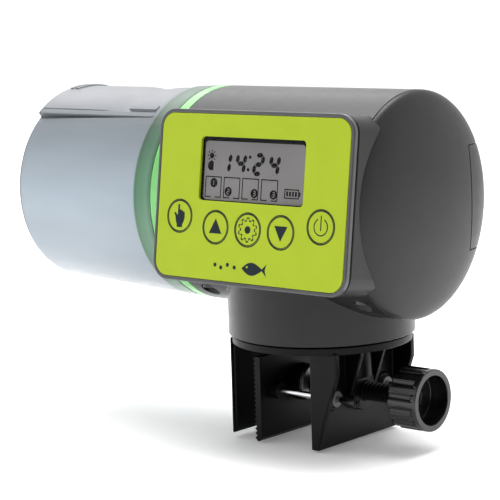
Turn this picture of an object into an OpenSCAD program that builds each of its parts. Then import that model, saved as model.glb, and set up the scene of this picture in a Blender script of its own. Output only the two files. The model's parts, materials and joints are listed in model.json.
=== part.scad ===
// Automatic aquarium feeder: a rotating food drum on a battery driven housing,
// which swivels on a screw clamp that grips the rim of a tank.
// Origin: centre of the underside of the clamp disc, on the swivel axis.
// +X points along the drum axis to the domed end, -Y to the control panel, +Z up.

/* [Housing] */
// Outer radius of the round housing
body_r = 35; // [33:0.5:45]
// Wall thickness of the plastic shells
wall = 2.2; // [1.6:0.1:2.8]
// Height of the drum axis above the clamp disc
axis_h = 45; // [44:0.5:60]
// Distance from the swivel axis to the drum end of the housing
housing_left = 36; // [34:0.5:45]
// Distance from the swivel axis to the seam of the domed end
housing_right = 38.3; // [38:0.1:50]
// Depth of the domed end beyond its seam
dome_depth = 6.3; // [6:0.1:15]
// Outer radius of the neck
neck_r = 29.8; // [28:0.1:31]

/* [Control panel] */
// Width of the lime face plate
face_w = 74; // [72:0.5:76]
// Height of the lime face plate
face_h = 50.6; // [50:0.2:56]
// Thickness of the lime face plate
face_t = 1; // [0.8:0.1:1.5]
// Width of the frame that shows round the face plate
rim_w = 1.3; // [0.8:0.1:2]
// How far the face stands out in front of the round housing
panel_proud = 2; // [1.5:0.25:6]
// Lean of the panel, its top edge back
panel_tilt = 7.9; // [0:0.1:12]
// Height of the panel centre above the drum axis
panel_lift = 3.9; // [0:0.1:6]
// Sideways place of the panel centre
panel_x = 3.1; // [2:0.1:4]
// Width of the display window
window_w = 41.2; // [36:0.2:42]
// Height of the display window
window_h = 19.6; // [16:0.2:20]
// Radius of a button
button_r = 4.85; // [4:0.05:5.2]
// Travel of a button
button_travel = 0.5; // [0.3:0.05:0.6]

/* [Drum] */
// Length of the food drum
drum_len = 64.1; // [55:0.1:90]
// Wall thickness of the food drum
drum_wall = 1.6; // [1.2:0.1:2]
// How much smaller the closed end of the drum is in radius
drum_draft = 2.5; // [0.5:0.1:3]
// Width of the visible green ring
ring_w = 3.9; // [3:0.1:6]
// Depth that the green cap reaches into the drum
skirt_len = 7.3; // [6:0.1:8]
// Length of the sliding shutter
shutter_len = 54.6; // [45:0.1:56]
// Half of the angle that the shutter covers
shutter_angle = 35.5; // [28:0.5:38]
// Length of the food outlet under the shutter
outlet_len = 10; // [6:0.5:11]
// Width of the food outlet
outlet_w = 12; // [6:0.5:16]

/* [Clamp] */
// Radius of the disc that carries the neck
disc_r = 28.8; // [28:0.1:31]
// Thickness of the disc
disc_t = 2.4; // [2:0.1:4]
// Width of the clamp walls and of the jaw
clamp_w = 41; // [36:0.5:42]
// Length of the clamp walls below the disc
wall_drop = 30.8; // [30:0.2:40]
// Distance from the swivel axis to the gripping face of the fixed wall
grip_x = 20.3; // [19.8:0.1:21]
// Gap between the fixed wall and the jaw as drawn
slot_w = 8.5; // [6:0.5:10]
// Distance from the swivel axis to the inner face of the screw wall
screw_wall_x = 11.2; // [11:0.1:13]
// Thickness of the screw wall
screw_wall_t = 2.8; // [2.4:0.1:3.5]
// Outer radius of the clamp screw
screw_r = 3; // [2.5:0.1:3.5]
// Depth of the screw axis below the disc
screw_drop = 15; // [14.5:0.5:16]
// Pitch of the screw thread
screw_pitch = 1.5; // [1:0.25:2]
// Outer radius of the knob
knob_r = 9.7; // [9:0.1:12]
// Length of the knob
knob_len = 10.5; // [10:0.5:14]

/* [Drive] */
// Gear module
gear_m = 0.8; // [0.7:0.05:0.85]
// Teeth on the output gear
output_teeth = 40; // [36:1:42]
// Teeth on the motor pinion
pinion_teeth = 12; // [12:1:14]
// Radius of the drum shaft
shaft_r = 2.5; // [2:0.1:3]

/* [Hidden] */

// clearances
run_fit = 0.05;      // shaft in its bore
slide_fit = 0.2;     // sliding plastic parts
seam = 0.25;         // visible joint between two shells
fine = 96;           // facets of the large round shapes
medium = 48;         // facets of the small round shapes
coarse = 24;         // facets of fasteners
over = 1;            // how far a cutter runs past a face

// housing
inner_r = body_r - wall;
spigot_r = inner_r - 0.15;
spigot_t = 2;
spigot_len = 4;
neck_z = disc_t + 0.45;
floor_t = 2.75;
floor_z = neck_z + floor_t;
hub_r = 8;
hub_z = floor_z + 0.15;

// housing screws, one near each end, driven upwards from below
screw_y = -19.4;
end_screw_inset = 6.5;
screw_xs = [-housing_left + end_screw_inset, housing_right - end_screw_inset];
boss_r = 4;
boss_top = -(sqrt(pow(inner_r, 2) - pow(screw_y, 2)) - 2.2);
tongue_h = 6;
seat_h = boss_top - 2;
m3_r = 1.5;
m3_head_r = 2.7;

// panel, in its own frame: X right, Y up, Z out of the face
panel_y = -(body_r + panel_proud);
bezel_w = face_w + 2 * rim_w;
bezel_h = face_h + 2 * rim_w;
face_corner = 4.7;
bezel_corner = face_corner + rim_w;
bezel_side = 1.8;
bezel_skirt = 4.6;
bezel_floor = 2.9;
box_back = 26;
window_y = 8.6;
window_corner = 1.3;
lcd_margin = 1.5;
lcd_t = 3.5;
board_front = 7.2;
board_t = 1.6;
board_w = 60.6;
board_h = 42;
button_y = -9.2;
outer_button_y = -6.6;
button_pitch = 12.9;
outer_button_x = 27.9;
button_gap = 0.2;
flange_over = 0.75;
flange_t = 0.8;
flange_gap = 0.15;
flange_bottom = face_t + flange_gap + flange_t;
stem_r = 1.6;
stem_end = bezel_floor + 1.4;
board_posts = [[-26.8, 16.5], [26.8, 16.5], [-20.5, -18], [20.5, -18]];
post_r = 2.3;
m2_r = 1;
m2_head_r = 1.9;
m2_head_h = 1.2;

// battery compartment, on the rear side
cell_r = 7.1;
cell_len = 49;
nub_r = 2.7;
nub_len = 1.5;
cell_pitch = 14.7;
tray_wall = 1.2;
tray_half_h = cell_pitch + tray_wall;
tray_len = 56.5;
tray_y0 = 14.3;
cell_y = tray_y0 + tray_wall + cell_r + 0.3;
tray_y1 = cell_y + 3.6;
door_half_h = tray_half_h + 0.6;
door_y = 22;

// drive train
pinion_drop = gear_m * (output_teeth + pinion_teeth) / 2;
cap_plate_x = -housing_left + wall;
gear_x = cap_plate_x + 1.6;
gear_w = 3.8;
cam_x = gear_x + gear_w + 0.2;
cam_w = 3;
cam_r = 8.5;
plate_x = cam_x + cam_w + 1.7;
plate_t = 2;
tray_x0 = plate_x + plate_t + m2_head_h;
door_x = tray_x0 - 0.2;
pillar_r = 3;
pillar_place = inner_r - 7;
pillar_angles = [0, 115, 245];
motor_r = 7.5;
motor_len = 26;
motor_shaft_r = 1.5;
backlash = 0.22;

// drum
ring_x = -housing_left - 0.3;
web_x = ring_x - ring_w;
drum_x0 = web_x - 0.2;
drum_x1 = drum_x0 - drum_len;
drum_bore_r = body_r - drum_wall;
skirt_r = drum_bore_r - 0.55;
skirt_t = 1.3;
web_t = 1.6;
dog_place = 8;
dog_r = 2;
dog_len = 1.8;
cap_hub_r = 11.5;
sleeve_r = 4.6;
sleeve_len = 6;
seat_r = body_r - drum_draft - 0.2;
seat_wall = 1.5;
shutter_t = 1.4;
shutter_in = seat_r + slide_fit;
shutter_out = shutter_in + shutter_t;
lip_out = shutter_in + 0.55;
lip_angle = 2.5;
rail_angle = shutter_angle + lip_angle + 2;
rail_out = shutter_out + 0.1;
bed_angle = rail_angle + 1.2;
shutter_x0 = drum_x1 + min(shutter_len, drum_len - skirt_len - 2.2);
shutter_x1 = drum_x1 + 0.4;
bed_end = shutter_x0 + 0.5;
rail_x0 = drum_x1 + 0.6;
rail_x1 = bed_end - 0.8;
rail_lip = 1.5;
rim_edge = 1.5;
rim_bevel = 0.45;
cap_rim = 2;
outlet_x = shutter_x0 - 4;
scoop_x = shutter_x0 - 16.5;
scoop_half = 9.5;
plate_step = 0.25;
ridge_places = [1, 3.6];
ridge_w = 1.4;
ridge_angle = 12;
scoop_depth = 0.7;
catch_len = 13;
catch_angle = 4.2;
catch_h = 0.5;
catch_inset = 0.8;

// clamp
fixed_wall_t = 2.7;
pad_t = 0.4;
pad_edge = 1.2;
rib_t = 2;
rib_reach = 10.2;
rib_heel = 6.8;
rib_knee = 21.2;
screw_wall_out = screw_wall_x + screw_wall_t;
thread_boss_r = 6.2;
thread_boss_len = 3;
pin_y = 13;
pin_r = 1.05;
pin_head_r = 1.9;
pin_head_len = 3;
bush_r = 2.5;
bush_proud = 2;
jaw_face_x = -grip_x + slot_w;
jaw_t = 2;
tooth_h = 0.8;
tooth_pitch = 1.5;
jaw_top = 3.7;
jaw_back_x = jaw_face_x + tooth_h + jaw_t;
socket_r = 6;
socket_len = 3.8;
flange_r = 3.8;
flange_len = 1.2;
pocket_depth = 3.2;
clip_t = 1.3;
neck_screw_r = 2.3;
knob_x = jaw_back_x + 41.5;
knob_hub_len = 4;
flute_count = 14;

// a shape of revolution round the drum axis: profile points are [radius, x],
// angles run from the top of the drum towards the panel
module round_x(a0 = 0, a1 = 360) {
    translate([0, 0, axis_h])
        rotate([0, 90, 0]) rotate([0, 0, 180 + a0])
            rotate_extrude(angle = a1 - a0, $fn = fine) children();
}

// a rod or hole along X
module rod_x(r, x0, x1, y = 0, z = 0, facets = medium) {
    translate([x0, y, z]) rotate([0, 90, 0]) cylinder(h = x1 - x0, r = r, $fn = facets);
}

// a tube sector round the drum axis
module sector(r0, r1, x0, x1, a0, a1) {
    round_x(a0, a1) polygon([[r0, x0], [r1, x0], [r1, x1], [r0, x1]]);
}

module rounded_rect(w, h, r) {
    square([w - 2 * r, h], center = true);
    square([w, h - 2 * r], center = true);
    for (sx = [-1, 1], sy = [-1, 1])
        translate([sx * (w / 2 - r), sy * (h / 2 - r)]) circle(r = r, $fn = medium);
}

// a rounded plate whose front lies z_front behind the face and whose back lies z_back behind it
module plate(w, h, r, z_front, z_back) {
    translate([0, 0, -z_back]) linear_extrude(z_back - z_front) rounded_rect(w, h, r);
}

// a round peg or hole in the panel's frame
module peg(r, z_front, z_back, facets = medium) {
    translate([0, 0, -z_back]) cylinder(h = z_back - z_front, r = r, $fn = facets);
}

module on_panel() {
    translate([panel_x, panel_y, axis_h + panel_lift]) rotate([90 - panel_tilt, 0, 0]) children();
}

// outer or inner solid of the round housing and its dome, grown by g
dome_steps = 20;
function dome_x(r, rim_r, depth) = housing_right + depth * sqrt(max(0, 1 - pow(r / rim_r, 2)));
module dome_solid(g, back) {
    rim_r = body_r + g;
    depth = dome_depth + g;
    round_x() polygon(concat([[0, housing_right - back], [rim_r, housing_right - back]],
        [for (i = [0:dome_steps]) let (r = rim_r * cos(90 * i / dome_steps))
            [r, dome_x(r, rim_r, depth)]]));
}
module tube_solid(r, x0, x1) {
    rod_x(r, x0, x1, 0, axis_h, fine);
}

// the space that the battery door closes, smaller by c on its free edges
module door_space(c) {
    translate([door_x + c, door_y + c, axis_h - door_half_h + c])
        cube([housing_right + dome_depth + 20, body_r, 2 * (door_half_h - c)]);
}

// ---------------------------------------------------------------- clamp

module side_rib(y0) {
    translate([screw_wall_x, y0 + rib_t, 0]) rotate([90, 0, 0]) linear_extrude(rib_t)
        polygon([[0, 0.5], [rib_reach, 0.5], [rib_reach, -rib_heel],
            [screw_wall_t + 2.3, -rib_knee], [screw_wall_t, -wall_drop + 0.4], [0, -wall_drop + 0.4]]);
}

module clamp_frame() {
    color([0.13, 0.13, 0.14]) difference() {
        union() {
            cylinder(h = disc_t, r = disc_r, $fn = fine);
            cylinder(h = neck_z - run_fit, r = hub_r + 4, $fn = fine);
            cylinder(h = hub_z, r = hub_r, $fn = fine);
            // fixed wall, its outer face follows the disc
            intersection() {
                translate([-grip_x - fixed_wall_t, -clamp_w / 2, -wall_drop + 1.2])
                    cube([fixed_wall_t - pad_t, clamp_w, wall_drop]);
                translate([0, 0, -wall_drop]) cylinder(h = wall_drop + disc_t, r = disc_r + 0.6, $fn = fine);
            }
            // raised pad that lies against the tank wall
            translate([-grip_x - pad_t - 0.5, -clamp_w / 2 + pad_edge, -wall_drop + 1.2 + pad_edge])
                cube([pad_t + 0.5, clamp_w - 2 * pad_edge, wall_drop - 1.2 - 2 * pad_edge]);
            translate([screw_wall_x, -clamp_w / 2, -wall_drop])
                cube([screw_wall_t, clamp_w, wall_drop + 0.5]);
            side_rib(-clamp_w / 2);
            side_rib(clamp_w / 2 - rib_t);
            // boss for the screw, with a rounded column and two webs above it
            rod_x(thread_boss_r, screw_wall_x + 1, screw_wall_out + thread_boss_len, 0, -screw_drop);
            translate([screw_wall_out, 0, -screw_drop + 4.5])
                cylinder(h = screw_drop - 4, r = 4.5, $fn = medium);
            for (y = [-6.5, 5])
                translate([screw_wall_out - 0.5, y + 1.5, 0]) rotate([90, 0, 0]) linear_extrude(1.5)
                    polygon([[0, 0.5], [7, 0.5], [7, -2.5], [2.5, -screw_drop - 1], [0, -screw_drop - 3]]);
            for (s = [-1, 1])
                rod_x(bush_r + 1.2, screw_wall_x + 1, screw_wall_out + 0.8, s * pin_y, -screw_drop - 0.5);
        }
        rod_x(screw_r + 0.1, jaw_back_x, screw_wall_out + thread_boss_len + 9, 0, -screw_drop);
        for (s = [-1, 1])
            rod_x(bush_r - 0.7, screw_wall_x - over, screw_wall_out + 5, s * pin_y, -screw_drop - 0.5);
        for (s = [-1, 1])
            rod_x(bush_r, screw_wall_out - 1, screw_wall_out + 5, s * pin_y, -screw_drop - 0.5);
        translate([0, 0, -over]) cylinder(h = 2 * over + hub_z, r = 1.25, $fn = coarse);
        translate([0, 0, -over]) cylinder(h = over + 1.6, r = hub_r - 2.5, $fn = medium);
    }
}

module guide_bushes() {
    color([0.3, 0.3, 0.31]) for (s = [-1, 1]) difference() {
        union() {
            rod_x(bush_r - 0.7, screw_wall_x, screw_wall_out, s * pin_y, -screw_drop - 0.5);
            rod_x(bush_r, screw_wall_out - 1, screw_wall_out + bush_proud, s * pin_y, -screw_drop - 0.5);
        }
        rod_x(pin_r + run_fit, screw_wall_x - over, screw_wall_out + 5, s * pin_y, -screw_drop - 0.5);
    }
}

module swivel_retainer() {
    color([0.75, 0.76, 0.78]) translate([0, 0, hub_z]) difference() {
        cylinder(h = 1.2, r = hub_r + 4, $fn = medium);
        translate([0, 0, -over]) cylinder(h = 1.2 + 2 * over, r = m3_r + 0.1, $fn = coarse);
    }
}

// a screw whose head sits on z = 0 and whose shank points down
module pan_screw(shank_r, shank_len, head_r, head_h) {
    translate([0, 0, -shank_len]) cylinder(h = shank_len + 0.1, r = shank_r, $fn = coarse);
    difference() {
        cylinder(h = head_h, r = head_r, $fn = coarse);
        for (a = [0, 90])
            translate([0, 0, head_h]) rotate([0, 0, a])
                cube([head_r * 1.2, head_r * 0.28, head_h], center = true);
    }
}

module pivot_screw() {
    color([0.7, 0.71, 0.73]) translate([0, 0, hub_z + 1.2]) pan_screw(1.25, 5.5, m3_head_r, 1.8);
}

// ---------------------------------------------------------------- jaw and screw

tooth_count = floor((wall_drop - jaw_top) / tooth_pitch);
module clamp_jaw() {
    jaw_bottom = -wall_drop - 0.2;
    color([0.12, 0.12, 0.13]) difference() {
        union() {
            // plate with gripping teeth that run across the tank wall
            translate([0, clamp_w / 2, 0]) rotate([90, 0, 0]) linear_extrude(clamp_w)
                polygon(concat([[jaw_back_x, jaw_bottom + 1.2], [jaw_back_x, -jaw_top]],
                    [for (i = [0:tooth_count - 1], t = [0, 0.5])
                        [jaw_face_x + tooth_h * (1 - 2 * t), -jaw_top - (i + t) * tooth_pitch]],
                    [[jaw_face_x + tooth_h, -jaw_top - tooth_count * tooth_pitch],
                        [jaw_face_x + tooth_h, jaw_bottom], [jaw_back_x - 1.2, jaw_bottom]]));
            rod_x(socket_r, jaw_back_x - 0.5, jaw_back_x + socket_len, 0, -screw_drop);
            for (s = [-1, 1])
                rod_x(bush_r + 0.3, jaw_back_x - 0.5, jaw_back_x + 2.5, s * pin_y, -screw_drop - 0.5);
        }
        rod_x(flange_r + 0.3, jaw_back_x + socket_len - pocket_depth, jaw_back_x + socket_len + over,
            0, -screw_drop);
        for (s = [-1, 1])
            rod_x(pin_r, jaw_back_x - 1, jaw_back_x + 4, s * pin_y, -screw_drop - 0.5);
    }
}

module guide_pins() {
    color([0.78, 0.79, 0.8]) for (s = [-1, 1]) {
        rod_x(pin_r, jaw_back_x - 1, knob_x - 10, s * pin_y, -screw_drop - 0.5);
        difference() {
            rod_x(pin_head_r, knob_x - 12, knob_x - 12 + pin_head_len, s * pin_y, -screw_drop - 0.5);
            for (a = [0, 90])
                translate([knob_x - 12 + pin_head_len, s * pin_y, -screw_drop - 0.5])
                    rotate([a, 0, 0]) cube([1.6, 2.4, 0.6], center = true);
        }
    }
}

module screw_retainer() {
    // horseshoe clip that keeps the flange of the screw in the jaw
    color([0.72, 0.73, 0.75]) translate([jaw_back_x + socket_len, 0, -screw_drop]) difference() {
        rod_x(socket_r - 0.3, 0, clip_t);
        rod_x(neck_screw_r + 0.3, -over, clip_t + over);
        translate([-over, -neck_screw_r - 0.3, -socket_r - over])
            cube([clip_t + 2 * over, 2 * neck_screw_r + 0.6, socket_r + over]);
    }
}

thread_x = jaw_back_x + socket_len + clip_t + 0.4;
thread_turns = floor((knob_x - thread_x) / screw_pitch);
module clamp_screw() {
    flange_x = jaw_back_x + socket_len - 0.4 - flange_len;
    core_r = screw_r - 0.65;
    color([0.14, 0.14, 0.15]) translate([0, 0, -screw_drop]) {
        rotate([0, 90, 0]) rotate_extrude($fn = medium)
            polygon(concat([[0, knob_x + knob_hub_len], [0, flange_x], [flange_r, flange_x],
                [flange_r, flange_x + flange_len], [neck_screw_r, flange_x + flange_len],
                [neck_screw_r, thread_x]],
                [for (i = [0:thread_turns - 1], p = [[core_r, 0.05], [screw_r, 0.4], [screw_r, 0.55], [core_r, 0.9]])
                    [p[0], thread_x + (i + p[1]) * screw_pitch]],
                [[core_r, thread_x + thread_turns * screw_pitch],
                    [screw_r - 0.4, thread_x + thread_turns * screw_pitch],
                    [screw_r - 0.4, knob_x + knob_hub_len]]));
    }
}

module clamp_knob() {
    rim_x = knob_x + knob_len - 2;
    color([0.14, 0.14, 0.15]) difference() {
        rod_x(knob_r, knob_x, knob_x + knob_len, 0, -screw_drop, fine);
        for (i = [0:flute_count - 1])
            translate([0, 0, -screw_drop]) rotate([i * 360 / flute_count, 0, 0])
                rod_x(1.25, knob_x - over, rim_x, 0, knob_r + 0.55, coarse);
        rod_x(knob_r - 2, knob_x + knob_hub_len, knob_x + knob_len + over, 0, -screw_drop, fine);
        rod_x(screw_r - 0.4, knob_x - over, knob_x + knob_len + over, 0, -screw_drop);
    }
}

// ---------------------------------------------------------------- housing

module housing_boss(x) {
    translate([x, screw_y, axis_h - body_r]) cylinder(h = body_r + boss_top, r = boss_r, $fn = medium);
}

module housing() {
    color([0.25, 0.25, 0.26]) difference() {
        union() {
            difference() {
                union() {
                    tube_solid(body_r, -housing_left, housing_right - seam);
                    on_panel() plate(bezel_w, bezel_h, bezel_corner, bezel_side + 0.35, box_back);
                    translate([0, 0, neck_z]) cylinder(h = axis_h - neck_z, r = neck_r, $fn = fine);
                }
                tube_solid(inner_r, -housing_left - over, housing_right + dome_depth);
                translate([0, 0, floor_z]) cylinder(h = axis_h - floor_z, r = neck_r - wall - 0.2, $fn = fine);
                on_panel() plate(bezel_w - 2 * wall, bezel_h - 2 * wall, bezel_corner - wall, 0, box_back + 5);
            }
            // seats for the two screws that hold the end parts
            intersection() {
                union() for (x = screw_xs) housing_boss(x);
                tube_solid(body_r - 0.5, -housing_left + 1, housing_right - seam);
            }
        }
        dome_solid(seam, seam);
        door_space(0);
        translate([0, 0, neck_z - over]) cylinder(h = floor_t + 2 * over, r = hub_r + run_fit, $fn = fine);
        for (x = screw_xs) translate([x, screw_y, 0]) {
            cylinder(h = axis_h + boss_top + over, r = m3_r + 0.2, $fn = coarse);
            cylinder(h = axis_h + seat_h, r = m3_head_r + 0.3, $fn = coarse);
        }
    }
}

// a boss inside an end part that a housing screw runs into
module tongue(x, reach) {
    intersection() {
        translate([x, screw_y, axis_h + boss_top + 0.15]) {
            cylinder(h = tongue_h, r = boss_r, $fn = medium);
            translate([min(0, reach), -3, 0]) cube([abs(reach), 6, tongue_h]);
        }
        tube_solid(spigot_r - 0.1, -housing_left, housing_right);
    }
}
module tongue_hole(x) {
    translate([x, screw_y, 0]) {
        cylinder(h = axis_h + boss_top + 0.15, r = boss_r + 0.4, $fn = medium);
        cylinder(h = axis_h + boss_top + tongue_h - 1, r = 1.25, $fn = coarse);
    }
}

// the room that the bezel's skirt needs in the two end parts
module bezel_room() {
    on_panel() plate(bezel_w - 2 * wall, bezel_h - 2 * wall, bezel_corner - wall, -over, bezel_skirt + 0.3);
}

module end_dome() {
    color([0.27, 0.27, 0.28]) difference() {
        union() {
            difference() {
                dome_solid(0, 0);
                dome_solid(-wall, over);
            }
            difference() {
                tube_solid(spigot_r, housing_right - spigot_len, housing_right + 0.6);
                tube_solid(spigot_r - spigot_t, 0, housing_right + dome_depth);
            }
            tongue(screw_xs[1], end_screw_inset - 0.3);
        }
        tongue_hole(screw_xs[1]);
        door_space(0);
        bezel_room();
    }
}

module drive_end_cap() {
    x0 = -housing_left;
    color([0.22, 0.22, 0.23]) difference() {
        union() {
            tube_solid(spigot_r, x0, cap_plate_x);
            difference() {
                tube_solid(spigot_r, x0, cap_plate_x + spigot_len);
                tube_solid(spigot_r - spigot_t, cap_plate_x, cap_plate_x + spigot_len + over);
            }
            rod_x(shaft_r + 3.5, x0, cap_plate_x + 1, 0, axis_h);
            for (a = pillar_angles) pillar(a, cap_plate_x - 0.5, plate_x);
            tongue(screw_xs[0], cap_plate_x - screw_xs[0] - 0.5);
        }
        tongue_hole(screw_xs[0]);
        bezel_room();
        rod_x(shaft_r + run_fit, x0 - over, cap_plate_x + 5, 0, axis_h);
        for (a = pillar_angles) pillar_hole(a, plate_x - 5, plate_x + over);
    }
}

// the pillars stand on a circle round the drum axis
module at_pillar(a) {
    translate([0, -pillar_place * sin(a), axis_h + pillar_place * cos(a)]) children();
}
module pillar(a, x0, x1) { at_pillar(a) rod_x(pillar_r, x0, x1); }
module pillar_hole(a, x0, x1) { at_pillar(a) rod_x(m2_r, x0, x1, 0, 0, coarse); }

module housing_screws() {
    color([0.68, 0.69, 0.71]) for (x = screw_xs)
        translate([x, screw_y, axis_h + seat_h]) rotate([180, 0, 0]) pan_screw(1.25, 6.7, m3_head_r, 1.7);
}

// ---------------------------------------------------------------- control panel

button_places = [[-outer_button_x, outer_button_y], [-button_pitch, button_y], [0, button_y],
    [button_pitch, button_y], [outer_button_x, outer_button_y]];

module bezel() {
    color([0.33, 0.33, 0.34]) on_panel() difference() {
        union() {
            plate(bezel_w, bezel_h, bezel_corner, 0, bezel_side);
            plate(bezel_w - 2 * wall - 0.6, bezel_h - 2 * wall - 0.6, bezel_corner - wall, 1, bezel_skirt);
            for (p = board_posts) translate(p) peg(post_r, bezel_skirt - 1, board_front);
        }
        plate(face_w + 0.1, face_h + 0.1, face_corner, -over, face_t);
        difference() {
            plate(bezel_w - 4 * wall, bezel_h - 4 * wall, 2, bezel_floor, bezel_skirt + over);
            for (p = board_posts) translate(p) peg(post_r, 0, board_front + over);
        }
        for (p = button_places) translate(p) {
            peg(button_r + flange_over + 0.3, 0, flange_bottom + button_travel + 0.1);
            peg(stem_r + 0.3, 0, board_front);
        }
        translate([0, window_y]) plate(window_w + 2 * lcd_margin + 0.6, window_h + 2 * lcd_margin + 0.6,
            0.5, 0, bezel_skirt + over);
        for (p = board_posts) translate(p) peg(m2_r - 0.15, bezel_floor, board_front + over, coarse);
    }
}

module face_plate() {
    color([0.72, 0.82, 0.19]) on_panel() difference() {
        plate(face_w, face_h, face_corner - 0.05, 0, face_t);
        translate([0, window_y]) plate(window_w, window_h, window_corner, -over, face_t + over);
        for (p = button_places) translate(p) peg(button_r + button_gap, -over, face_t + over);
    }
}

module window_lens() {
    color([0.75, 0.78, 0.8, 0.4]) on_panel() translate([0, window_y])
        plate(window_w - 0.1, window_h - 0.1, window_corner - 0.05, 0.4, face_t);
}

module lcd_module() {
    color([0.58, 0.57, 0.58]) on_panel() translate([0, window_y])
        plate(window_w + 2 * lcd_margin, window_h + 2 * lcd_margin, 0.4, face_t + 0.05, face_t + lcd_t);
}

module lcd_connector() {
    color([0.85, 0.6, 0.65]) on_panel() translate([0, window_y + window_h / 2 - 1])
        plate(window_w - 3, 2.4, 0.3, face_t + lcd_t, board_front);
}

module circuit_board() {
    color([0.1, 0.36, 0.2]) on_panel() difference() {
        plate(board_w, board_h, 1, board_front, board_front + board_t);
        for (p = board_posts)
            translate(p) peg(m2_r + 0.1, board_front - over, board_front + board_t + over, coarse);
    }
}

module control_chip() {
    color([0.06, 0.06, 0.06]) on_panel() translate([4, 2])
        plate(10, 10, 0.3, board_front + board_t, board_front + board_t + 1.2);
}

module tact_switches() {
    color([0.2, 0.2, 0.21]) on_panel() for (p = button_places) translate(p) {
        plate(4.6, 4.6, 0.3, board_front - 1.6, board_front);
        peg(1.5, stem_end + button_travel + 0.1, board_front, coarse);
    }
}

module board_screws() {
    back = board_front + board_t;
    color([0.7, 0.71, 0.73]) on_panel() for (p = board_posts)
        translate([p[0], p[1], -back]) rotate([180, 0, 0]) pan_screw(m2_r - 0.15, 4.5, 1.9, 1.2);
}

module button(i) {
    color([0.72, 0.82, 0.19]) on_panel() translate(button_places[i]) {
        peg(button_r, 0, face_t + flange_gap + 0.1);
        peg(button_r + flange_over, face_t + flange_gap, flange_bottom);
        peg(stem_r, flange_bottom - 0.1, stem_end);
    }
}
module feed_button() { button(0); }
module up_button() { button(1); }
module set_button() { button(2); }
module down_button() { button(3); }
module power_button() { button(4); }

// ---------------------------------------------------------------- batteries

cell_zs = [axis_h - cell_pitch / 2, axis_h + cell_pitch / 2];
cell_room = tray_len - 2 * tray_wall;
spring_len = cell_room - cell_len - nub_len - 1;

module battery_door() {
    color([0.27, 0.27, 0.28]) {
        intersection() {
            difference() {
                dome_solid(0, housing_right - door_x);
                dome_solid(-wall, housing_right - door_x + over);
            }
            door_space(slide_fit);
        }
        // hook that runs under the edge of the housing
        intersection() {
            sector(inner_r - 1.6, inner_r - 0.3, door_x - 3, door_x + 3, -95, -85);
            door_space(-5);
        }
        sector(inner_r - 1.6, inner_r + 0.2, door_x + 0.4, door_x + 3, -95, -85);
    }
}

module battery_tray() {
    color([0.16, 0.16, 0.17]) difference() {
        translate([tray_x0, tray_y0, axis_h - tray_half_h])
            cube([tray_len, tray_y1 - tray_y0, 2 * tray_half_h]);
        translate([tray_x0 + tray_wall, tray_y0 + tray_wall, axis_h - tray_half_h + tray_wall])
            cube([cell_room, tray_y1, 2 * (tray_half_h - tray_wall)]);
    }
}

// a cell lies along X, its nub towards the end named by s
module cell(z, s) {
    x_mid = tray_x0 + tray_len / 2;
    x_end = x_mid - s * (cell_room / 2 - spring_len - 0.5);
    x_nub = x_end + s * cell_len;
    rod_x(cell_r, min(x_end, x_nub), max(x_end, x_nub), cell_y, z);
    rod_x(nub_r, min(x_nub - s * 0.5, x_nub + s * nub_len), max(x_nub - s * 0.5, x_nub + s * nub_len),
        cell_y, z, coarse);
}
module battery_cells() {
    color([0.12, 0.3, 0.55]) {
        cell(cell_zs[0], 1);
        cell(cell_zs[1], -1);
    }
}

module contact_plates() {
    plate_thick = 0.4;
    color([0.8, 0.8, 0.8]) for (x = [tray_x0 + tray_wall, tray_x0 + tray_len - tray_wall - plate_thick],
        z = cell_zs)
        translate([x, cell_y - 4.5, z - 4.5]) cube([plate_thick, 9, 9]);
}

// conical contact spring: rings that shrink towards the cell
module contact_spring(x0, z, s) {
    rings = 4;
    wire = 0.35;
    step = (spring_len - 2 * wire) / (rings - 1);
    for (i = [0:rings - 1])
        translate([x0 + s * (wire + i * step), cell_y, z]) rotate([0, 90, 0])
            rotate_extrude($fn = coarse) translate([3.8 - 0.5 * i, 0]) circle(r = wire, $fn = 16);
    for (i = [0:rings - 2])
        rod_x(wire, min(x0 + s * (wire + i * step), x0 + s * (wire + (i + 1) * step)),
            max(x0 + s * (wire + i * step), x0 + s * (wire + (i + 1) * step)),
            cell_y, z + 3.55 - 0.5 * i, 16);
}
module contact_springs() {
    color([0.8, 0.8, 0.8]) {
        contact_spring(tray_x0 + tray_wall + 0.4, cell_zs[0], 1);
        contact_spring(tray_x0 + tray_len - tray_wall - 0.4, cell_zs[1], -1);
    }
}

// ---------------------------------------------------------------- drive train

// involute gear round the Z axis, with its tooth 0 on +X
pressure = 20;
function involute(rb, t) = [rb * (cos(t) + t * PI / 180 * sin(t)), rb * (sin(t) - t * PI / 180 * cos(t))];
function turned(p, a) = [p[0] * cos(a) - p[1] * sin(a), p[0] * sin(a) + p[1] * cos(a)];
function flank_angle(rb, r) = sqrt(max(0, pow(r / rb, 2) - 1)) * 180 / PI;
function tooth(n, m) = let (
    rp = n * m / 2, rb = rp * cos(pressure), tip = rp + 0.95 * m, root = rp - 1.2 * m,
    start = max(rb, root),
    half = 90 / n - backlash / rp * 90 / PI + flank_angle(rb, rp) - pressure,
    flank = [for (i = [0:4]) let (r = start + (tip - start) * i / 4)
        turned(involute(rb, flank_angle(rb, r)), -half)])
    concat([turned([root, 0], -half - (rb > root ? 0 : 0.5))], flank,
        [for (i = [4:-1:0]) [flank[i][0], -flank[i][1]]],
        [turned([root, 0], half + (rb > root ? 0 : 0.5))]);
module gear(n, m, w) {
    linear_extrude(w) polygon([for (k = [0:n - 1], p = tooth(n, m)) turned(p, k * 360 / n)]);
}

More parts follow.
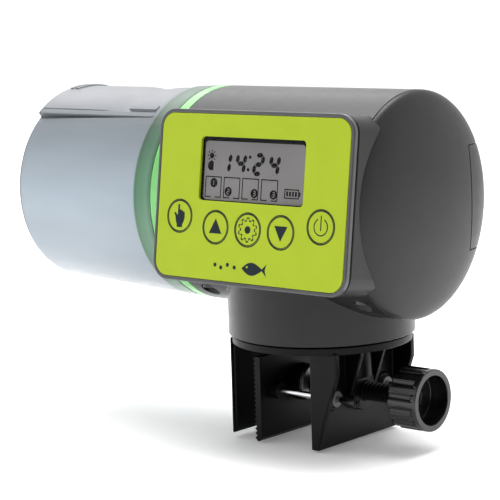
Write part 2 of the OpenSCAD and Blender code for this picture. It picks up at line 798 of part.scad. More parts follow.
module gearbox_plate() {
    color([0.8, 0.8, 0.77]) difference() {
        union() {
            rod_x(12, plate_x, plate_x + plate_t, 0, axis_h);
            for (a = pillar_angles) translate([plate_x, 0, axis_h]) rotate([-a, 0, 0]) {
                translate([0, -4, 0]) cube([plate_t, 8, pillar_place]);
                rod_x(4, 0, plate_t, 0, pillar_place);
            }
            rod_x(motor_r + 1, plate_x, plate_x + plate_t, 0, axis_h - pinion_drop);
            translate([plate_x, -motor_r - 1, axis_h - pinion_drop])
                cube([plate_t, 2 * motor_r + 2, pinion_drop]);
        }
        rod_x(shaft_r + run_fit, plate_x - over, plate_x + plate_t + over, 0, axis_h);
        rod_x(motor_shaft_r + 0.3, plate_x - over, plate_x + plate_t + over, 0, axis_h - pinion_drop);
        for (a = pillar_angles) pillar_hole(a, plate_x - over, plate_x + plate_t + over);
    }
}

module gearbox_screws() {
    color([0.7, 0.71, 0.73]) for (a = pillar_angles) at_pillar(a)
        translate([plate_x + plate_t, 0, 0]) rotate([0, 90, 0]) pan_screw(m2_r - 0.05, 6.5, m2_head_r, m2_head_h);
}

module gear_motor() {
    x0 = plate_x + plate_t;
    color([0.75, 0.76, 0.78]) difference() {
        union() {
            rod_x(motor_r, x0, x0 + motor_len * 0.35, 0, axis_h - pinion_drop);
            rod_x(motor_r - 0.6, x0 + motor_len * 0.35, x0 + motor_len, 0, axis_h - pinion_drop);
            rod_x(2, x0 + motor_len, x0 + motor_len + 1.5, 0, axis_h - pinion_drop, coarse);
            for (s = [-1, 1])
                translate([x0 + motor_len - 0.5, s * 3.5 - 1, axis_h - pinion_drop - 0.25]) cube([3.5, 2, 0.5]);
        }
        rod_x(motor_shaft_r + run_fit, x0 - over, x0 + 3, 0, axis_h - pinion_drop, coarse);
    }
}

module position_switch() {
    x0 = plate_x - 0.1;
    color([0.12, 0.12, 0.12]) {
        translate([x0 - 4, cam_r + 1.6, axis_h - 6.4]) cube([4, 6.5, 12.8]);
        translate([x0 - 3, cam_r + 0.5, axis_h - 5]) cube([1.8, 0.4, 9]);
        translate([x0 - 3, cam_r + 0.5, axis_h - 5]) cube([1.8, 1.5, 0.4]);
    }
}

module motor_shaft() {
    color([0.8, 0.8, 0.82])
        rod_x(motor_shaft_r, gear_x - 0.4, plate_x + plate_t + 2.8, 0, axis_h - pinion_drop, coarse);
}

module motor_pinion() {
    color([0.85, 0.72, 0.35])
        translate([gear_x, 0, axis_h - pinion_drop]) rotate([0, 90, 0]) rotate([0, 0, 180])
        difference() {
            rotate([0, 0, 180 + 180 / pinion_teeth]) gear(pinion_teeth, gear_m, gear_w);
            translate([0, 0, -over]) cylinder(h = gear_w + 2 * over, r = motor_shaft_r, $fn = coarse);
        }
}

module drive_shaft() {
    color([0.8, 0.8, 0.82]) rod_x(shaft_r, web_x - sleeve_len + 1.2, plate_x + plate_t - 0.2, 0, axis_h);
}

module output_gear() {
    color([0.92, 0.91, 0.86]) translate([gear_x, 0, axis_h]) rotate([0, 90, 0]) rotate([0, 0, 180])
        difference() {
            rotate([0, 0, 180]) gear(output_teeth, gear_m, gear_w);
            translate([0, 0, -over]) cylinder(h = gear_w + 2 * over, r = shaft_r, $fn = medium);
            for (k = [0:4]) rotate([0, 0, 72 * k]) translate([9.3, 0, -over])
                cylinder(h = gear_w + 2 * over, r = 2.6, $fn = coarse);
        }
}

module position_cam() {
    color([0.2, 0.45, 0.75]) difference() {
        rod_x(cam_r, cam_x, cam_x + cam_w, 0, axis_h);
        rod_x(shaft_r, cam_x - over, cam_x + cam_w + over, 0, axis_h);
        rod_x(1.6, cam_x - over, cam_x + cam_w + over, 0, axis_h + cam_r, coarse);
    }
}

module dogs(r, x0, x1) {
    for (k = [0:2]) translate([0, 0, axis_h]) rotate([120 * k, 0, 0]) rod_x(r, x0, x1, 0, dog_place, coarse);
}
module drive_hub() {
    x1 = ring_x - 0.1;
    x0 = web_x + web_t + 0.2;
    color([0.9, 0.9, 0.88]) difference() {
        union() {
            rod_x(cap_hub_r - 0.5, x0, x1, 0, axis_h);
            dogs(dog_r, x0 - dog_len, x0 + 0.1);
        }
        rod_x(shaft_r, x0 - 5, x1 + over, 0, axis_h);
    }
}

// ---------------------------------------------------------------- drum

module drum_cap() {
    hub_back = web_x + web_t;
    color([0.5, 0.85, 0.42]) difference() {
        union() {
            difference() {
                tube_solid(body_r, web_x, ring_x);
                tube_solid(body_r - cap_rim, hub_back, ring_x + over);
            }
            difference() {
                tube_solid(skirt_r, web_x - skirt_len, web_x + 0.5);
                tube_solid(skirt_r - skirt_t, web_x - skirt_len - over, web_x);
            }
            rod_x(cap_hub_r, hub_back - dog_len - 1.8, hub_back, 0, axis_h);
            rod_x(sleeve_r, web_x - sleeve_len, hub_back, 0, axis_h);
        }
        dogs(dog_r + 0.3, hub_back - dog_len - 0.2, hub_back + over);
        rod_x(shaft_r + run_fit, web_x - sleeve_len + 1, hub_back + over, 0, axis_h);
    }
}

function drum_r(x) = body_r - drum_draft * (drum_x0 - x) / drum_len;

module drum_outer(inset) {
    end_r = drum_r(drum_x1) - inset;
    end_x = drum_x1 + inset;
    round_x() polygon([[0, end_x], [end_r - rim_edge, end_x], [end_r - rim_bevel, end_x + rim_bevel],
        [end_r, end_x + rim_edge],
        [drum_r(drum_x0) - inset, drum_x0 + inset / 2], [0, drum_x0 + inset / 2]]);
}

module drum() {
    color([0.62, 0.68, 0.74, 0.6]) difference() {
        union() {
            difference() {
                drum_outer(0);
                // level bed that the shutter slides on
                sector(seat_r, body_r + over, drum_x1 - over, bed_end, -bed_angle, bed_angle);
            }
            // a rail along each side of the bed, its lip over the edge of the shutter
            for (s = [0, 1]) mirror([0, s, 0])
                sector(lip_out + 0.1, rail_out, rail_x0, rail_x1, shutter_angle + 0.5, rail_angle);
            for (s = [0, 1]) mirror([0, s, 0])
                sector(seat_r - 0.5, lip_out + 0.4, rail_x0, rail_x1, rail_angle - rail_lip, rail_angle);
        }
        difference() {
            drum_outer(drum_wall);
            sector(seat_r - seat_wall, body_r, drum_x1, bed_end + drum_wall, -bed_angle - 2, bed_angle + 2);
        }
        tube_solid(drum_bore_r - 0.1, drum_x0 - 2, drum_x0 + over);
        translate([outlet_x - outlet_len, -outlet_w / 2, axis_h]) cube([outlet_len, outlet_w, body_r + over]);
    }
}

scoop_steps = 12;
module shutter() {
    plate_in = shutter_in + plate_step;
    color([0.56, 0.6, 0.66, 0.7]) {
        // curved plate with a shallow thumb scoop
        round_x(-shutter_angle, shutter_angle) polygon(concat(
            [[plate_in, shutter_x0], [plate_in, shutter_x1], [shutter_out, shutter_x1]],
            [for (i = [0:scoop_steps]) let (a = 360 * i / scoop_steps)
                [shutter_out - scoop_depth * (1 - cos(a)) / 2,
                 scoop_x + scoop_half * (2 * i / scoop_steps - 1)]],
            [[shutter_out, shutter_x0]]));
        // thin foot of the plate, whose edges run under the lips of the rails
        sector(shutter_in, lip_out, shutter_x1 + 0.1, shutter_x0 - 0.1,
            -shutter_angle - lip_angle, shutter_angle + lip_angle);
        // finger ridges near the closed end
        for (x = ridge_places)
            sector(shutter_out - 0.3, shutter_out + catch_h, shutter_x1 + x, shutter_x1 + x + ridge_w,
                -ridge_angle, ridge_angle);
        // catch on the edge beside the outlet
        sector(shutter_out - 0.3, shutter_out + catch_h, shutter_x0 - catch_len, shutter_x0 - catch_inset,
            shutter_angle - catch_angle, shutter_angle - catch_inset);
    }
}

clamp_frame();
guide_bushes();
swivel_retainer();
pivot_screw();
clamp_jaw();
guide_pins();
screw_retainer();
clamp_screw();
clamp_knob();
housing();
end_dome();
drive_end_cap();
housing_screws();
bezel();
face_plate();
window_lens();
lcd_module();
lcd_connector();
circuit_board();
control_chip();
tact_switches();
board_screws();
feed_button();
up_button();
set_button();
down_button();
power_button();
battery_door();
battery_tray();
battery_cells();
contact_plates();
contact_springs();
gearbox_plate();
gearbox_screws();
gear_motor();
position_switch();
motor_shaft();
motor_pinion();
drive_shaft();
output_gear();
position_cam();
drive_hub();
drum_cap();
drum();
shutter();
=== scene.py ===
# %% [markdown]
# # Dressing an aquarium feeder
# The parts of this feeder arrive as a fixed frame: every shell, gear and screw already has its real
# size and place. This lesson gives them their finishes, rounds their edges, and adds what a frame
# leaves out: the printed keys, the display, a real screw thread, springs and a lit scene.
# All numbers are metres in the frame's own axes: X runs along the food drum, Z is up.

# %% Load the frame
import json
import math

import bmesh
import bpy
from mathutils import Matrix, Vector


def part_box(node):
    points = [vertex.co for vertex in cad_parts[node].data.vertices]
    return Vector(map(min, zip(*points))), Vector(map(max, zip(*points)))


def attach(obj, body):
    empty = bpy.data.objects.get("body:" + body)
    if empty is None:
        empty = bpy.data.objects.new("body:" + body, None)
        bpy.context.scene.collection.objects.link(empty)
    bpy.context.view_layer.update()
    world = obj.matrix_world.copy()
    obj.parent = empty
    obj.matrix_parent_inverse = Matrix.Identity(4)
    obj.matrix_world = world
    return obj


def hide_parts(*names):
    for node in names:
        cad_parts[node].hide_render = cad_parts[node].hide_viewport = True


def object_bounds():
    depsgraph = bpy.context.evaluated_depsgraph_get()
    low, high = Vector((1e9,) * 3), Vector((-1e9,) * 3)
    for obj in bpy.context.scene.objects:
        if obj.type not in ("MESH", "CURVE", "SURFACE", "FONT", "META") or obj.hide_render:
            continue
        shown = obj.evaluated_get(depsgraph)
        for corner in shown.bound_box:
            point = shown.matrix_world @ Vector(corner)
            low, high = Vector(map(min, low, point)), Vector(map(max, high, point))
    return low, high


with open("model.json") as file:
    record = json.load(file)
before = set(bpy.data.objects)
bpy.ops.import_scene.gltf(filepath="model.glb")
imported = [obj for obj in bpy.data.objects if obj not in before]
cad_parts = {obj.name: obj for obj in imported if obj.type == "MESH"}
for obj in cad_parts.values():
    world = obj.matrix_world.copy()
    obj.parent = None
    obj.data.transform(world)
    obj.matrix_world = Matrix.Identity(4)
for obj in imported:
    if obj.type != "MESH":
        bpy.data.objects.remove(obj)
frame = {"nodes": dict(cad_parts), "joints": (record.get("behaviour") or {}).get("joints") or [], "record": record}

NODES = frame["nodes"]
JOINTS = {joint["name"]: joint for joint in frame["joints"]}
BODY_OF = {node: body for body, nodes in frame["record"]["behaviour"]["bodies"].items()
           for node in nodes}
MM = 0.001
cad_low, cad_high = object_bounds()
print(len(NODES), "nodes; frame size in mm:", [round(x / MM, 1) for x in cad_high - cad_low])

# %% [markdown]
# ## Where things are
# The face of the control panel leans back, so anything printed on it is easier to place in the
# panel's own directions: u to the right, v up the face, and w out of it. The keys are pressed along
# the panel's inward normal, so a key's joint axis gives the lean without measuring anything.

# %% Panel directions
face_low, face_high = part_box("face_plate")
press = Vector(JOINTS["feed_press"]["axis"]).normalized()
OUT = -press
RIGHT = Vector((1, 0, 0))
UP = OUT.cross(RIGHT)
FACE_THICK = 1.0 * MM
PANEL = (face_low + face_high) / 2 + OUT * FACE_THICK / 2


def on_face(u, v, w=0.0):
    """A point u mm right, v mm up and w mm out from the centre of the face."""
    return PANEL + (RIGHT * u + UP * v + OUT * w) * MM


print("panel leans back", round(math.degrees(math.asin(OUT.z)), 1), "degrees")

# %% [markdown]
# ## Two kinds of piece
# A frame part whose shape is right keeps its mesh. Its joints between flat and curved faces are
# knife sharp though, and a moulded part never is, so modifiers weld it, merge its flat triangles
# and round its edges. New pieces come from bmesh, Blender's mesh builder, and ride on a body.

# %% Helpers: soften a frame part, or make a new piece
WELD = 0.002 * MM       # corners nearer than this are one corner
FLAT = math.radians(0.4)    # faces that turn less than this are one face


def dress(node, finish, edge=0.0, segments=2, angle=32):
    """Gives a frame part its finish, and rounds edges sharper than `angle` degrees by `edge` mm."""
    part = NODES[node]
    part.data.materials.clear()
    part.data.materials.append(finish)
    if edge:
        for name in ("custom_normal", "sharp_edge", "sharp_face"):
            if name in part.data.attributes:
                part.data.attributes.remove(part.data.attributes[name])
        part.data.polygons.foreach_set("use_smooth", [True] * len(part.data.polygons))
        weld = part.modifiers.new("weld", "WELD")
        weld.merge_threshold = WELD
        flat = part.modifiers.new("merge flats", "DECIMATE")
        flat.decimate_type = "DISSOLVE"
        flat.angle_limit = FLAT
        rounding = part.modifiers.new("rounded edges", "BEVEL")
        rounding.width = edge * MM
        rounding.segments = segments
        rounding.limit_method = "ANGLE"
        rounding.angle_limit = math.radians(angle)
        rounding.use_clamp_overlap = False
        rounding.miter_outer = "MITER_ARC"
        rounding.harden_normals = True
        shading = part.modifiers.new("even shading", "WEIGHTED_NORMAL")
        shading.keep_sharp = True
    return part


def piece(name, bm, body, finish, smooth=30):
    """Turns a bmesh into a piece that rides on a body, smooth across edges below `smooth` degrees."""
    bmesh.ops.recalc_face_normals(bm, faces=bm.faces)
    mesh = bpy.data.meshes.new(name)
    bm.to_mesh(mesh)
    bm.free()
    mesh.materials.append(finish)
    if smooth:
        mesh.polygons.foreach_set("use_smooth", [True] * len(mesh.polygons))
        mesh.set_sharp_from_angle(angle=math.radians(smooth))
    made = bpy.data.objects.new(name, mesh)
    bpy.context.scene.collection.objects.link(made)
    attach(made, body)
    return made


def solids(node):
    """The lowest and highest corner of each separate solid of a frame part, from left to right."""
    bm = bmesh.new()
    bm.from_mesh(NODES[node].data)
    bmesh.ops.remove_doubles(bm, verts=bm.verts, dist=WELD)
    left, boxes = set(bm.verts), []
    while left:
        reach, group = [left.pop()], []
        while reach:
            vertex = reach.pop()
            group.append(vertex.co)
            near = {edge.other_vert(vertex) for edge in vertex.link_edges} & left
            left -= near
            reach += near
        boxes.append((Vector(map(min, *group)), Vector(map(max, *group))))
    bm.free()
    return sorted(boxes, key=lambda box: (round(box[0].x, 5), round(box[0].z, 5)))


# %% [markdown]
# ## Finishes
# Each finish starts from the same shader and adds what the eye catches on the real surface: the
# grain left by a spark-eroded mould, the drag lines in drawn metal, the faint streaks where molten
# plastic flowed. Noise textures read the part's own position, so they stay put when it moves.

# %% Helpers: nodes for a finish
COAT_ROUGH = 0.12
NOISE_SPAN = (0.35, 0.65)   # most of a noise lies between these


def finish(name, colour, rough, metal=0.0, gloss=0.5, coat=0.0):
    """A new material with its plain numbers set on the shader itself."""
    made = bpy.data.materials.new(name)
    made.use_nodes = True
    made.diffuse_color = (*colour, 1)
    shader = made.node_tree.nodes["Principled BSDF"]
    shader.inputs["Base Color"].default_value = (*colour, 1)
    shader.inputs["Roughness"].default_value = rough
    shader.inputs["Metallic"].default_value = metal
    shader.inputs["Specular IOR Level"].default_value = gloss
    shader.inputs["Coat Weight"].default_value = coat
    shader.inputs["Coat Roughness"].default_value = COAT_ROUGH
    return made


def grain(made, size, detail=3.0, stretch=(1, 1, 1)):
    """Noise whose lumps are about `size` mm across, longer along an axis where stretch is below 1."""
    tree = made.node_tree
    place = tree.nodes.new("ShaderNodeTexCoord")
    turn = tree.nodes.new("ShaderNodeMapping")
    turn.inputs["Scale"].default_value = stretch
    noise = tree.nodes.new("ShaderNodeTexNoise")
    noise.inputs["Scale"].default_value = 1 / (size * MM)
    noise.inputs["Detail"].default_value = detail
    tree.links.new(place.outputs["Object"], turn.inputs["Vector"])
    tree.links.new(turn.outputs["Vector"], noise.inputs["Vector"])
    return noise.outputs["Fac"]


def shades(made, value, dark, light):
    """Spreads the base colour between two near shades."""
    tree = made.node_tree
    ramp = tree.nodes.new("ShaderNodeValToRGB")
    for stop, position, colour in zip(ramp.color_ramp.elements, NOISE_SPAN, (dark, light)):
        stop.position = position
        stop.color = (*colour, 1)
    tree.links.new(value, ramp.inputs["Fac"])
    tree.links.new(ramp.outputs["Color"], tree.nodes["Principled BSDF"].inputs["Base Color"])


def uneven_gloss(made, value, low, high):
    """Roughness that wanders between two values."""
    tree = made.node_tree
    spread = tree.nodes.new("ShaderNodeMapRange")
    spread.inputs["To Min"].default_value = low
    spread.inputs["To Max"].default_value = high
    tree.links.new(value, spread.inputs["Value"])
    tree.links.new(spread.outputs["Result"], tree.nodes["Principled BSDF"].inputs["Roughness"])


def relief(made, value, height, strength):
    """Bumps `height` mm high."""
    tree = made.node_tree
    bump = tree.nodes.new("ShaderNodeBump")
    bump.inputs["Strength"].default_value = strength
    bump.inputs["Distance"].default_value = height * MM
    tree.links.new(value, bump.inputs["Height"])
    tree.links.new(bump.outputs["Normal"], tree.nodes["Principled BSDF"].inputs["Normal"])


def scaled(colour, factor):
    return tuple(c * factor for c in colour)


# %% [markdown]
# The shells, clamp and knob are black or charcoal plastic. They differ by mould: spark-eroded on
# the shells, plain matt on the clamp, satin on the knob. One function makes them all, with the
# size and height of the grain, and how far the colour wanders, as the values that tell them apart.

# %% Moulded plastics
def moulded(name, colour, rough, gloss, grain_size, grain_height, coat=0.0, mottle=0.1):
    """Plastic with grain in mm, and a colour that wanders by a share `mottle` either way."""
    made = finish(name, colour, rough, gloss=gloss, coat=coat)
    shades(made, grain(made, 9.0), scaled(colour, 1 - mottle), scaled(colour, 1 + mottle))
    uneven_gloss(made, grain(made, 3.0), rough - 0.05, rough + 0.06)
    relief(made, grain(made, grain_size, 2.0), grain_height, 0.6)
    return made


SHELL = moulded("spark_grained_charcoal", (0.011, 0.011, 0.0115), 0.34, 0.28, 0.32, 0.008)
BEZEL = moulded("satin_grey_rim", (0.050, 0.051, 0.054), 0.24, 0.55, 0.5, 0.004)
CLAMP = moulded("matt_black_clamp", (0.002, 0.002, 0.0022), 0.4, 0.13, 0.45, 0.006)
KNOB = moulded("satin_black_knob", (0.005, 0.005, 0.0055), 0.22, 0.5, 0.6, 0.003)
BUSH = moulded("smooth_grey_bush", (0.10, 0.10, 0.105), 0.4, 0.45, 0.8, 0.002)
BLACK_PART = moulded("moulded_component", (0.018, 0.018, 0.019), 0.42, 0.5, 0.3, 0.003)
ACETAL = moulded("natural_acetal", (0.76, 0.74, 0.66), 0.42, 0.5, 0.9, 0.002)
CAM_BLUE = moulded("blue_acetal", (0.05, 0.17, 0.46), 0.4, 0.5, 0.9, 0.002)
RUBBER = moulded("pink_elastomer", (0.66, 0.36, 0.42), 0.6, 0.35, 0.4, 0.004)
LIME = moulded("lime_overlay", (0.35, 0.45, 0.014), 0.42, 0.22, 0.6, 0.0015, mottle=0.02)
NAVY = moulded("navy_ink", (0.002, 0.010, 0.016), 0.42, 0.2, 0.5, 0.001)
print("moulded finishes:", [m.name for m in bpy.data.materials if m.use_nodes])

# %% [markdown]
# Metals need a direction. Drawn wire and plated screws show fine lines along the way they were
# pulled or turned, so the noise is stretched along one axis, and it drives both gloss and relief.
# Screws that should hide against black plastic are blackened instead, which leaves no lines.

# %% Metals
def drawn_metal(name, colour, rough, lines=(0.06, 1, 1)):
    """Bare metal with fine lines along the axis whose share in `lines` is small."""
    made = finish(name, colour, rough, metal=1.0)
    strokes = grain(made, 0.35, 4.0, lines)
    shades(made, strokes, scaled(colour, 0.82), scaled(colour, 1.08))
    uneven_gloss(made, strokes, rough - 0.07, rough + 0.1)
    relief(made, strokes, 0.004, 0.5)
    return made


ZINC = drawn_metal("zinc_plate", (0.58, 0.59, 0.61), 0.34, (0.4, 1, 1))
STEEL = drawn_metal("ground_steel", (0.68, 0.69, 0.71), 0.2)
NICKEL = drawn_metal("nickel_plate", (0.70, 0.68, 0.64), 0.26, (1, 0.2, 1))
CAN = drawn_metal("drawn_can", (0.55, 0.56, 0.57), 0.36)
BRASS = drawn_metal("turned_brass", (0.78, 0.58, 0.24), 0.28, (1, 1, 0.3))
BLACK_OXIDE = finish("black_oxide", (0.05, 0.05, 0.052), 0.3, metal=0.9)

# %% [markdown]
# The drum and the green cap let light through. A thin tinted wall that scatters some light looks
# milky, so these shaders mix transmission with a pale body colour. Faint streaks along the drum
# are the flow lines of its moulding. The light and shade that what stands behind such a wall
# would give it are painted in: a second function multiplies a finish by a tint that changes along
# one axis, as painted shade and painted see-through colour. The display's window is thinner and
# clearer: a faint gloss, and almost nothing else.

# %% See-through plastics
def along(made, axis, stops):
    """Multiplies the colour by one that changes along an axis, from stops of (mm, grey or colour)."""
    tree = made.node_tree
    base = tree.nodes["Principled BSDF"].inputs["Base Color"]
    place = tree.nodes.new("ShaderNodeTexCoord")
    split = tree.nodes.new("ShaderNodeSeparateXYZ")
    spread = tree.nodes.new("ShaderNodeMapRange")
    low, high = stops[0][0], stops[-1][0]
    spread.inputs["From Min"].default_value = low * MM
    spread.inputs["From Max"].default_value = high * MM
    ramp = tree.nodes.new("ShaderNodeValToRGB")
    ramp.color_ramp.elements.remove(ramp.color_ramp.elements[1])
    for number, (mm, tint) in enumerate(stops):
        share = (mm - low) / (high - low)
        stop = ramp.color_ramp.elements.new(share) if number else ramp.color_ramp.elements[0]
        stop.position = share
        stop.color = (*tint, 1) if isinstance(tint, tuple) else (tint, tint, tint, 1)
    blend = tree.nodes.new("ShaderNodeMix")
    blend.data_type, blend.blend_type = "RGBA", "MULTIPLY"
    blend.inputs["Factor"].default_value = 1.0
    colour_a, colour_b = [i for i in blend.inputs if i.type == "RGBA"][:2]
    tree.links.new(place.outputs["Object"], split.inputs["Vector"])
    tree.links.new(split.outputs[axis], spread.inputs["Value"])
    tree.links.new(spread.outputs["Result"], ramp.inputs["Fac"])
    tree.links.new(base.links[0].from_socket, colour_a)
    tree.links.new(ramp.outputs["Color"], colour_b)
    tree.links.new([o for o in blend.outputs if o.type == "RGBA"][0], base)


def translucent(name, dark, light, rough, clear, streaks):
    """Milky plastic between two shades; `clear` is the share of light that passes."""
    made = finish(name, light, rough, gloss=0.5)
    shader = made.node_tree.nodes["Principled BSDF"]
    shader.inputs["Transmission Weight"].default_value = clear
    shader.inputs["IOR"].default_value = 1.46
    shades(made, grain(made, 14.0, 2.0, streaks), dark, light)
    uneven_gloss(made, grain(made, 5.0), rough - 0.05, rough + 0.07)
    return made


def clear_film(name, rough, cover):
    """Thin clear plastic: a gloss that lets most of what lies behind it through unbent."""
    made = finish(name, (0.02, 0.02, 0.021), rough, gloss=0.5)
    made.node_tree.nodes["Principled BSDF"].inputs["Alpha"].default_value = cover
    uneven_gloss(made, grain(made, 6.0), rough - 0.02, rough + 0.03)
    return made


FLOW = (0.25, 1, 1)
# The drum's finish later gets painted shade, and the cap's green painted into its colour.
SMOKE = translucent("smoky_drum_painted_shade_and_glow", (0.55, 0.63, 0.705), (0.61, 0.695, 0.77), 0.3, 0.55, FLOW)
SMOKE_DARK = translucent("smoky_shutter", (0.25, 0.265, 0.295), (0.30, 0.315, 0.345), 0.34, 0.6, FLOW)
GREEN = translucent("clear_green_cap", (0.18, 0.60, 0.16), (0.25, 0.69, 0.22), 0.2, 0.2, (1, 1, 1))
LENS = clear_film("clear_lens", 0.06, 0.05)

# %% [markdown]
# A reflective display is a grey sheet with a slight mottle. Its segments are nearly black, and
# they sit a hair above it. The circuit board is green lacquer over copper, and the cells wear a
# shrink sleeve with a band at one end.

# %% Display, board and cell sleeve
LCD = finish("reflective_display", (0.20, 0.19, 0.193), 0.4, gloss=0.3)
shades(LCD, grain(LCD, 26.0, 1.0), (0.187, 0.177, 0.180), (0.216, 0.205, 0.208))
relief(LCD, grain(LCD, 0.2, 1.0), 0.001, 0.3)
SEGMENT = moulded("dark_segments", (0.002, 0.002, 0.0022), 0.4, 0.1, 0.5, 0.001)
BOARD = finish("green_lacquer", (0.015, 0.15, 0.055), 0.3, coat=0.4)
shades(BOARD, grain(BOARD, 2.2, 4.0), (0.012, 0.12, 0.045), (0.03, 0.22, 0.09))
relief(BOARD, grain(BOARD, 0.7, 2.0), 0.01, 0.6)
SLEEVE = moulded("blue_cell_sleeve", (0.03, 0.13, 0.36), 0.24, 0.5, 1.2, 0.004, coat=0.5)
BAND = moulded("silver_cell_band", (0.52, 0.53, 0.55), 0.26, 0.5, 1.2, 0.003, coat=0.4)
print(len(bpy.data.materials), "finishes so far")

# %% [markdown]
# ## The clamp
# The clamp hooks over the rim of a tank: a disc carries the housing, a fixed wall and a toothed
# jaw grip the glass, and a screw wall with two triangular ribs takes the load. Its shape is the
# frame's own, so it only needs rounded edges and a dull black finish. The jaw slides on two bright
# steel pins with blackened heads: faces beyond the back of a head take the second finish.

# %% Dress the clamp and the jaw
PIN_HEAD_LEN = 3.1 * MM
dress("clamp_frame", CLAMP, 0.35)
dress("guide_bushes", BUSH, 0.15)
dress("swivel_retainer", ZINC, 0.15)
dress("pivot_screw", ZINC, 0.12)
dress("clamp_jaw", CLAMP, 0.12)
pins = dress("guide_pins", STEEL, 0.12)
pins.data.materials.append(BLACK_OXIDE)
head_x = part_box("guide_pins")[1].x - PIN_HEAD_LEN
for polygon in pins.data.polygons:
    polygon.material_index = int(polygon.center.x > head_x)
dress("screw_retainer", ZINC, 0.12)
print("clamp parts:", [n for n in NODES if BODY_OF[n] in ("clamp", "jaw")])

# %% [markdown]
# ## A real screw thread
# The frame's screw has ring-shaped grooves, which mesh and collide well but look wrong up close.
# A true thread is one ridge that climbs by the pitch on each turn. The simplest way to make it is
# a lathe whose radius depends on the angle as well: the profile is read at x minus the share of a
# turn. The pitch isn't typed in: it follows from how far the jaw moves per turn of the knob.

# %% Helper: a lathe whose radius may change with the angle
def lathe(bm, centre, stations, radius, sides=48):
    """Rings round an axis along X through centre; radius(x, angle) in metres; both ends closed."""
    rings = []
    for x in stations:
        ring = []
        for k in range(sides):
            a = 2 * math.pi * k / sides
            r = radius(x, a)
            ring.append(bm.verts.new((x, centre.y + r * math.cos(a), centre.z + r * math.sin(a))))
        rings.append(ring)
    for near, far in zip(rings, rings[1:]):
        for k in range(sides):
            bm.faces.new((near[k], near[k - 1], far[k - 1], far[k]))
    bm.faces.new(rings[0])
    bm.faces.new(reversed(rings[-1]))


# %% Cut the thread
screw_low, screw_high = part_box("clamp_screw")
knob_low, knob_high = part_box("clamp_knob")
SCREW_AXIS = (knob_low + knob_high) / 2
jaw_travel = JOINTS["jaw_slide"]["range_m"][1] - JOINTS["jaw_slide"]["range_m"][0]
knob_turns = (JOINTS["knob_turn"]["range_deg"][1] - JOINTS["knob_turn"]["range_deg"][0]) / 360
PITCH = jaw_travel / knob_turns
THREAD_R, CORE_R, NECK_R, TAIL_R = 3.0 * MM, 2.35 * MM, 2.3 * MM, 2.6 * MM
FLANGE_R, FLANGE_LEN, NECK_LEN = (screw_high.y - screw_low.y) / 2, 1.2 * MM, 2.1 * MM
KNOB_GAP = 0.4 * MM
thread_x0 = screw_low.x + FLANGE_LEN + NECK_LEN
thread_x1 = knob_low.x - KNOB_GAP
TAPER = 1.2 * MM
CREST, FLANK = 2.4, 6.5     # the ridge's height before it is cut flat, and how fast it falls


def thread_radius(x, angle):
    """A flat-topped thread that fades in and out at its ends."""
    turn = ((x - thread_x0) / PITCH - angle / (2 * math.pi)) % 1.0
    ridge = min(1.0, max(0.0, CREST - abs(turn - 0.5) * FLANK))
    fade = min(1.0, max(0.0, (x - thread_x0) / TAPER), max(0.0, (thread_x1 - x) / TAPER))
    return CORE_R + (THREAD_R - CORE_R) * ridge * fade


STEPS_PER_TURN = 14
count = int((thread_x1 - thread_x0) / PITCH * STEPS_PER_TURN)
thread_stations = [thread_x0 + (thread_x1 - thread_x0) * i / count for i in range(count + 1)]
EDGE = 0.15 * MM
STEP = 0.01 * MM
collar = [(screw_low.x, FLANGE_R - EDGE), (screw_low.x + EDGE, FLANGE_R),
          (screw_low.x + FLANGE_LEN - EDGE, FLANGE_R), (screw_low.x + FLANGE_LEN, FLANGE_R - EDGE),
          (screw_low.x + FLANGE_LEN + STEP, NECK_R), (thread_x0 - 5 * STEP, NECK_R)]
tail = [(thread_x1 + 10 * STEP, TAIL_R), (screw_high.x, TAIL_R)]
plain = dict(collar + tail)
bm = bmesh.new()
lathe(bm, SCREW_AXIS, [x for x, r in collar] + thread_stations + [x for x, r in tail],
      lambda x, a: plain.get(x) or thread_radius(x, a), 56)
screw = piece("threaded_clamp_screw", bm, "screw", CLAMP, smooth=40)
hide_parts("clamp_screw")
dress("clamp_knob", KNOB, 0.3)
print("pitch", round(PITCH / MM, 2), "mm,", round((thread_x1 - thread_x0) / PITCH, 1), "turns")

# %% [markdown]
# ## The shells
# The housing, its domed end, the battery door and the inner end cap are the same charcoal plastic
# with a fine spark texture. Rounded seams matter most here: the thin bright and dark lines where
# two shells meet are what makes them read as separate mouldings.

# %% Dress the shells
dress("housing", SHELL, 0.3)
dress("end_dome", SHELL, 0.25)
dress("battery_door", SHELL, 0.25)
dress("drive_end_cap", SHELL, 0.2)
dress("housing_screws", BLACK_OXIDE, 0.1)
dress("bezel", BEZEL, 0.35, 3)
dress("face_plate", LIME, 0.12)
dress("window_lens", LENS, 0.1)
dress("lcd_module", LCD, 0.1)
for key in ("feed_button", "up_button", "set_button", "down_button", "power_button"):
    dress(key, LIME, 0.12)
print("shell parts dressed")

# %% [markdown]
# ## Printing
# Ink is thin, but it has an edge, and the display's segments float just above the grey. So each
# mark is an outline drawn in the panel's own u and v, filled, and given a few hundredths of a
# millimetre of thickness. Marks on a key ride on that key, so they go in when it is pressed.

# %% Helpers: outlines and ink
INK = 0.03      # thickness of the ink on the face, in mm


def arc(u, v, r, start=0, end=360, steps=32):
    """Points along an arc, angles in degrees from u towards v."""
    turns = [math.radians(start + (end - start) * k / steps) for k in range(steps + 1)]
    return [(u + r * math.cos(a), v + r * math.sin(a)) for a in turns]


def disc(u, v, r, steps=32):
    return arc(u, v, r, steps=steps)[:-1]


def bar(u0, v0, u1, v1):
    return [(u0, v0), (u1, v0), (u1, v1), (u0, v1)]


def shifted(outline, u, v, size=1.0):
    return [(u + size * a, v + size * b) for a, b in outline]


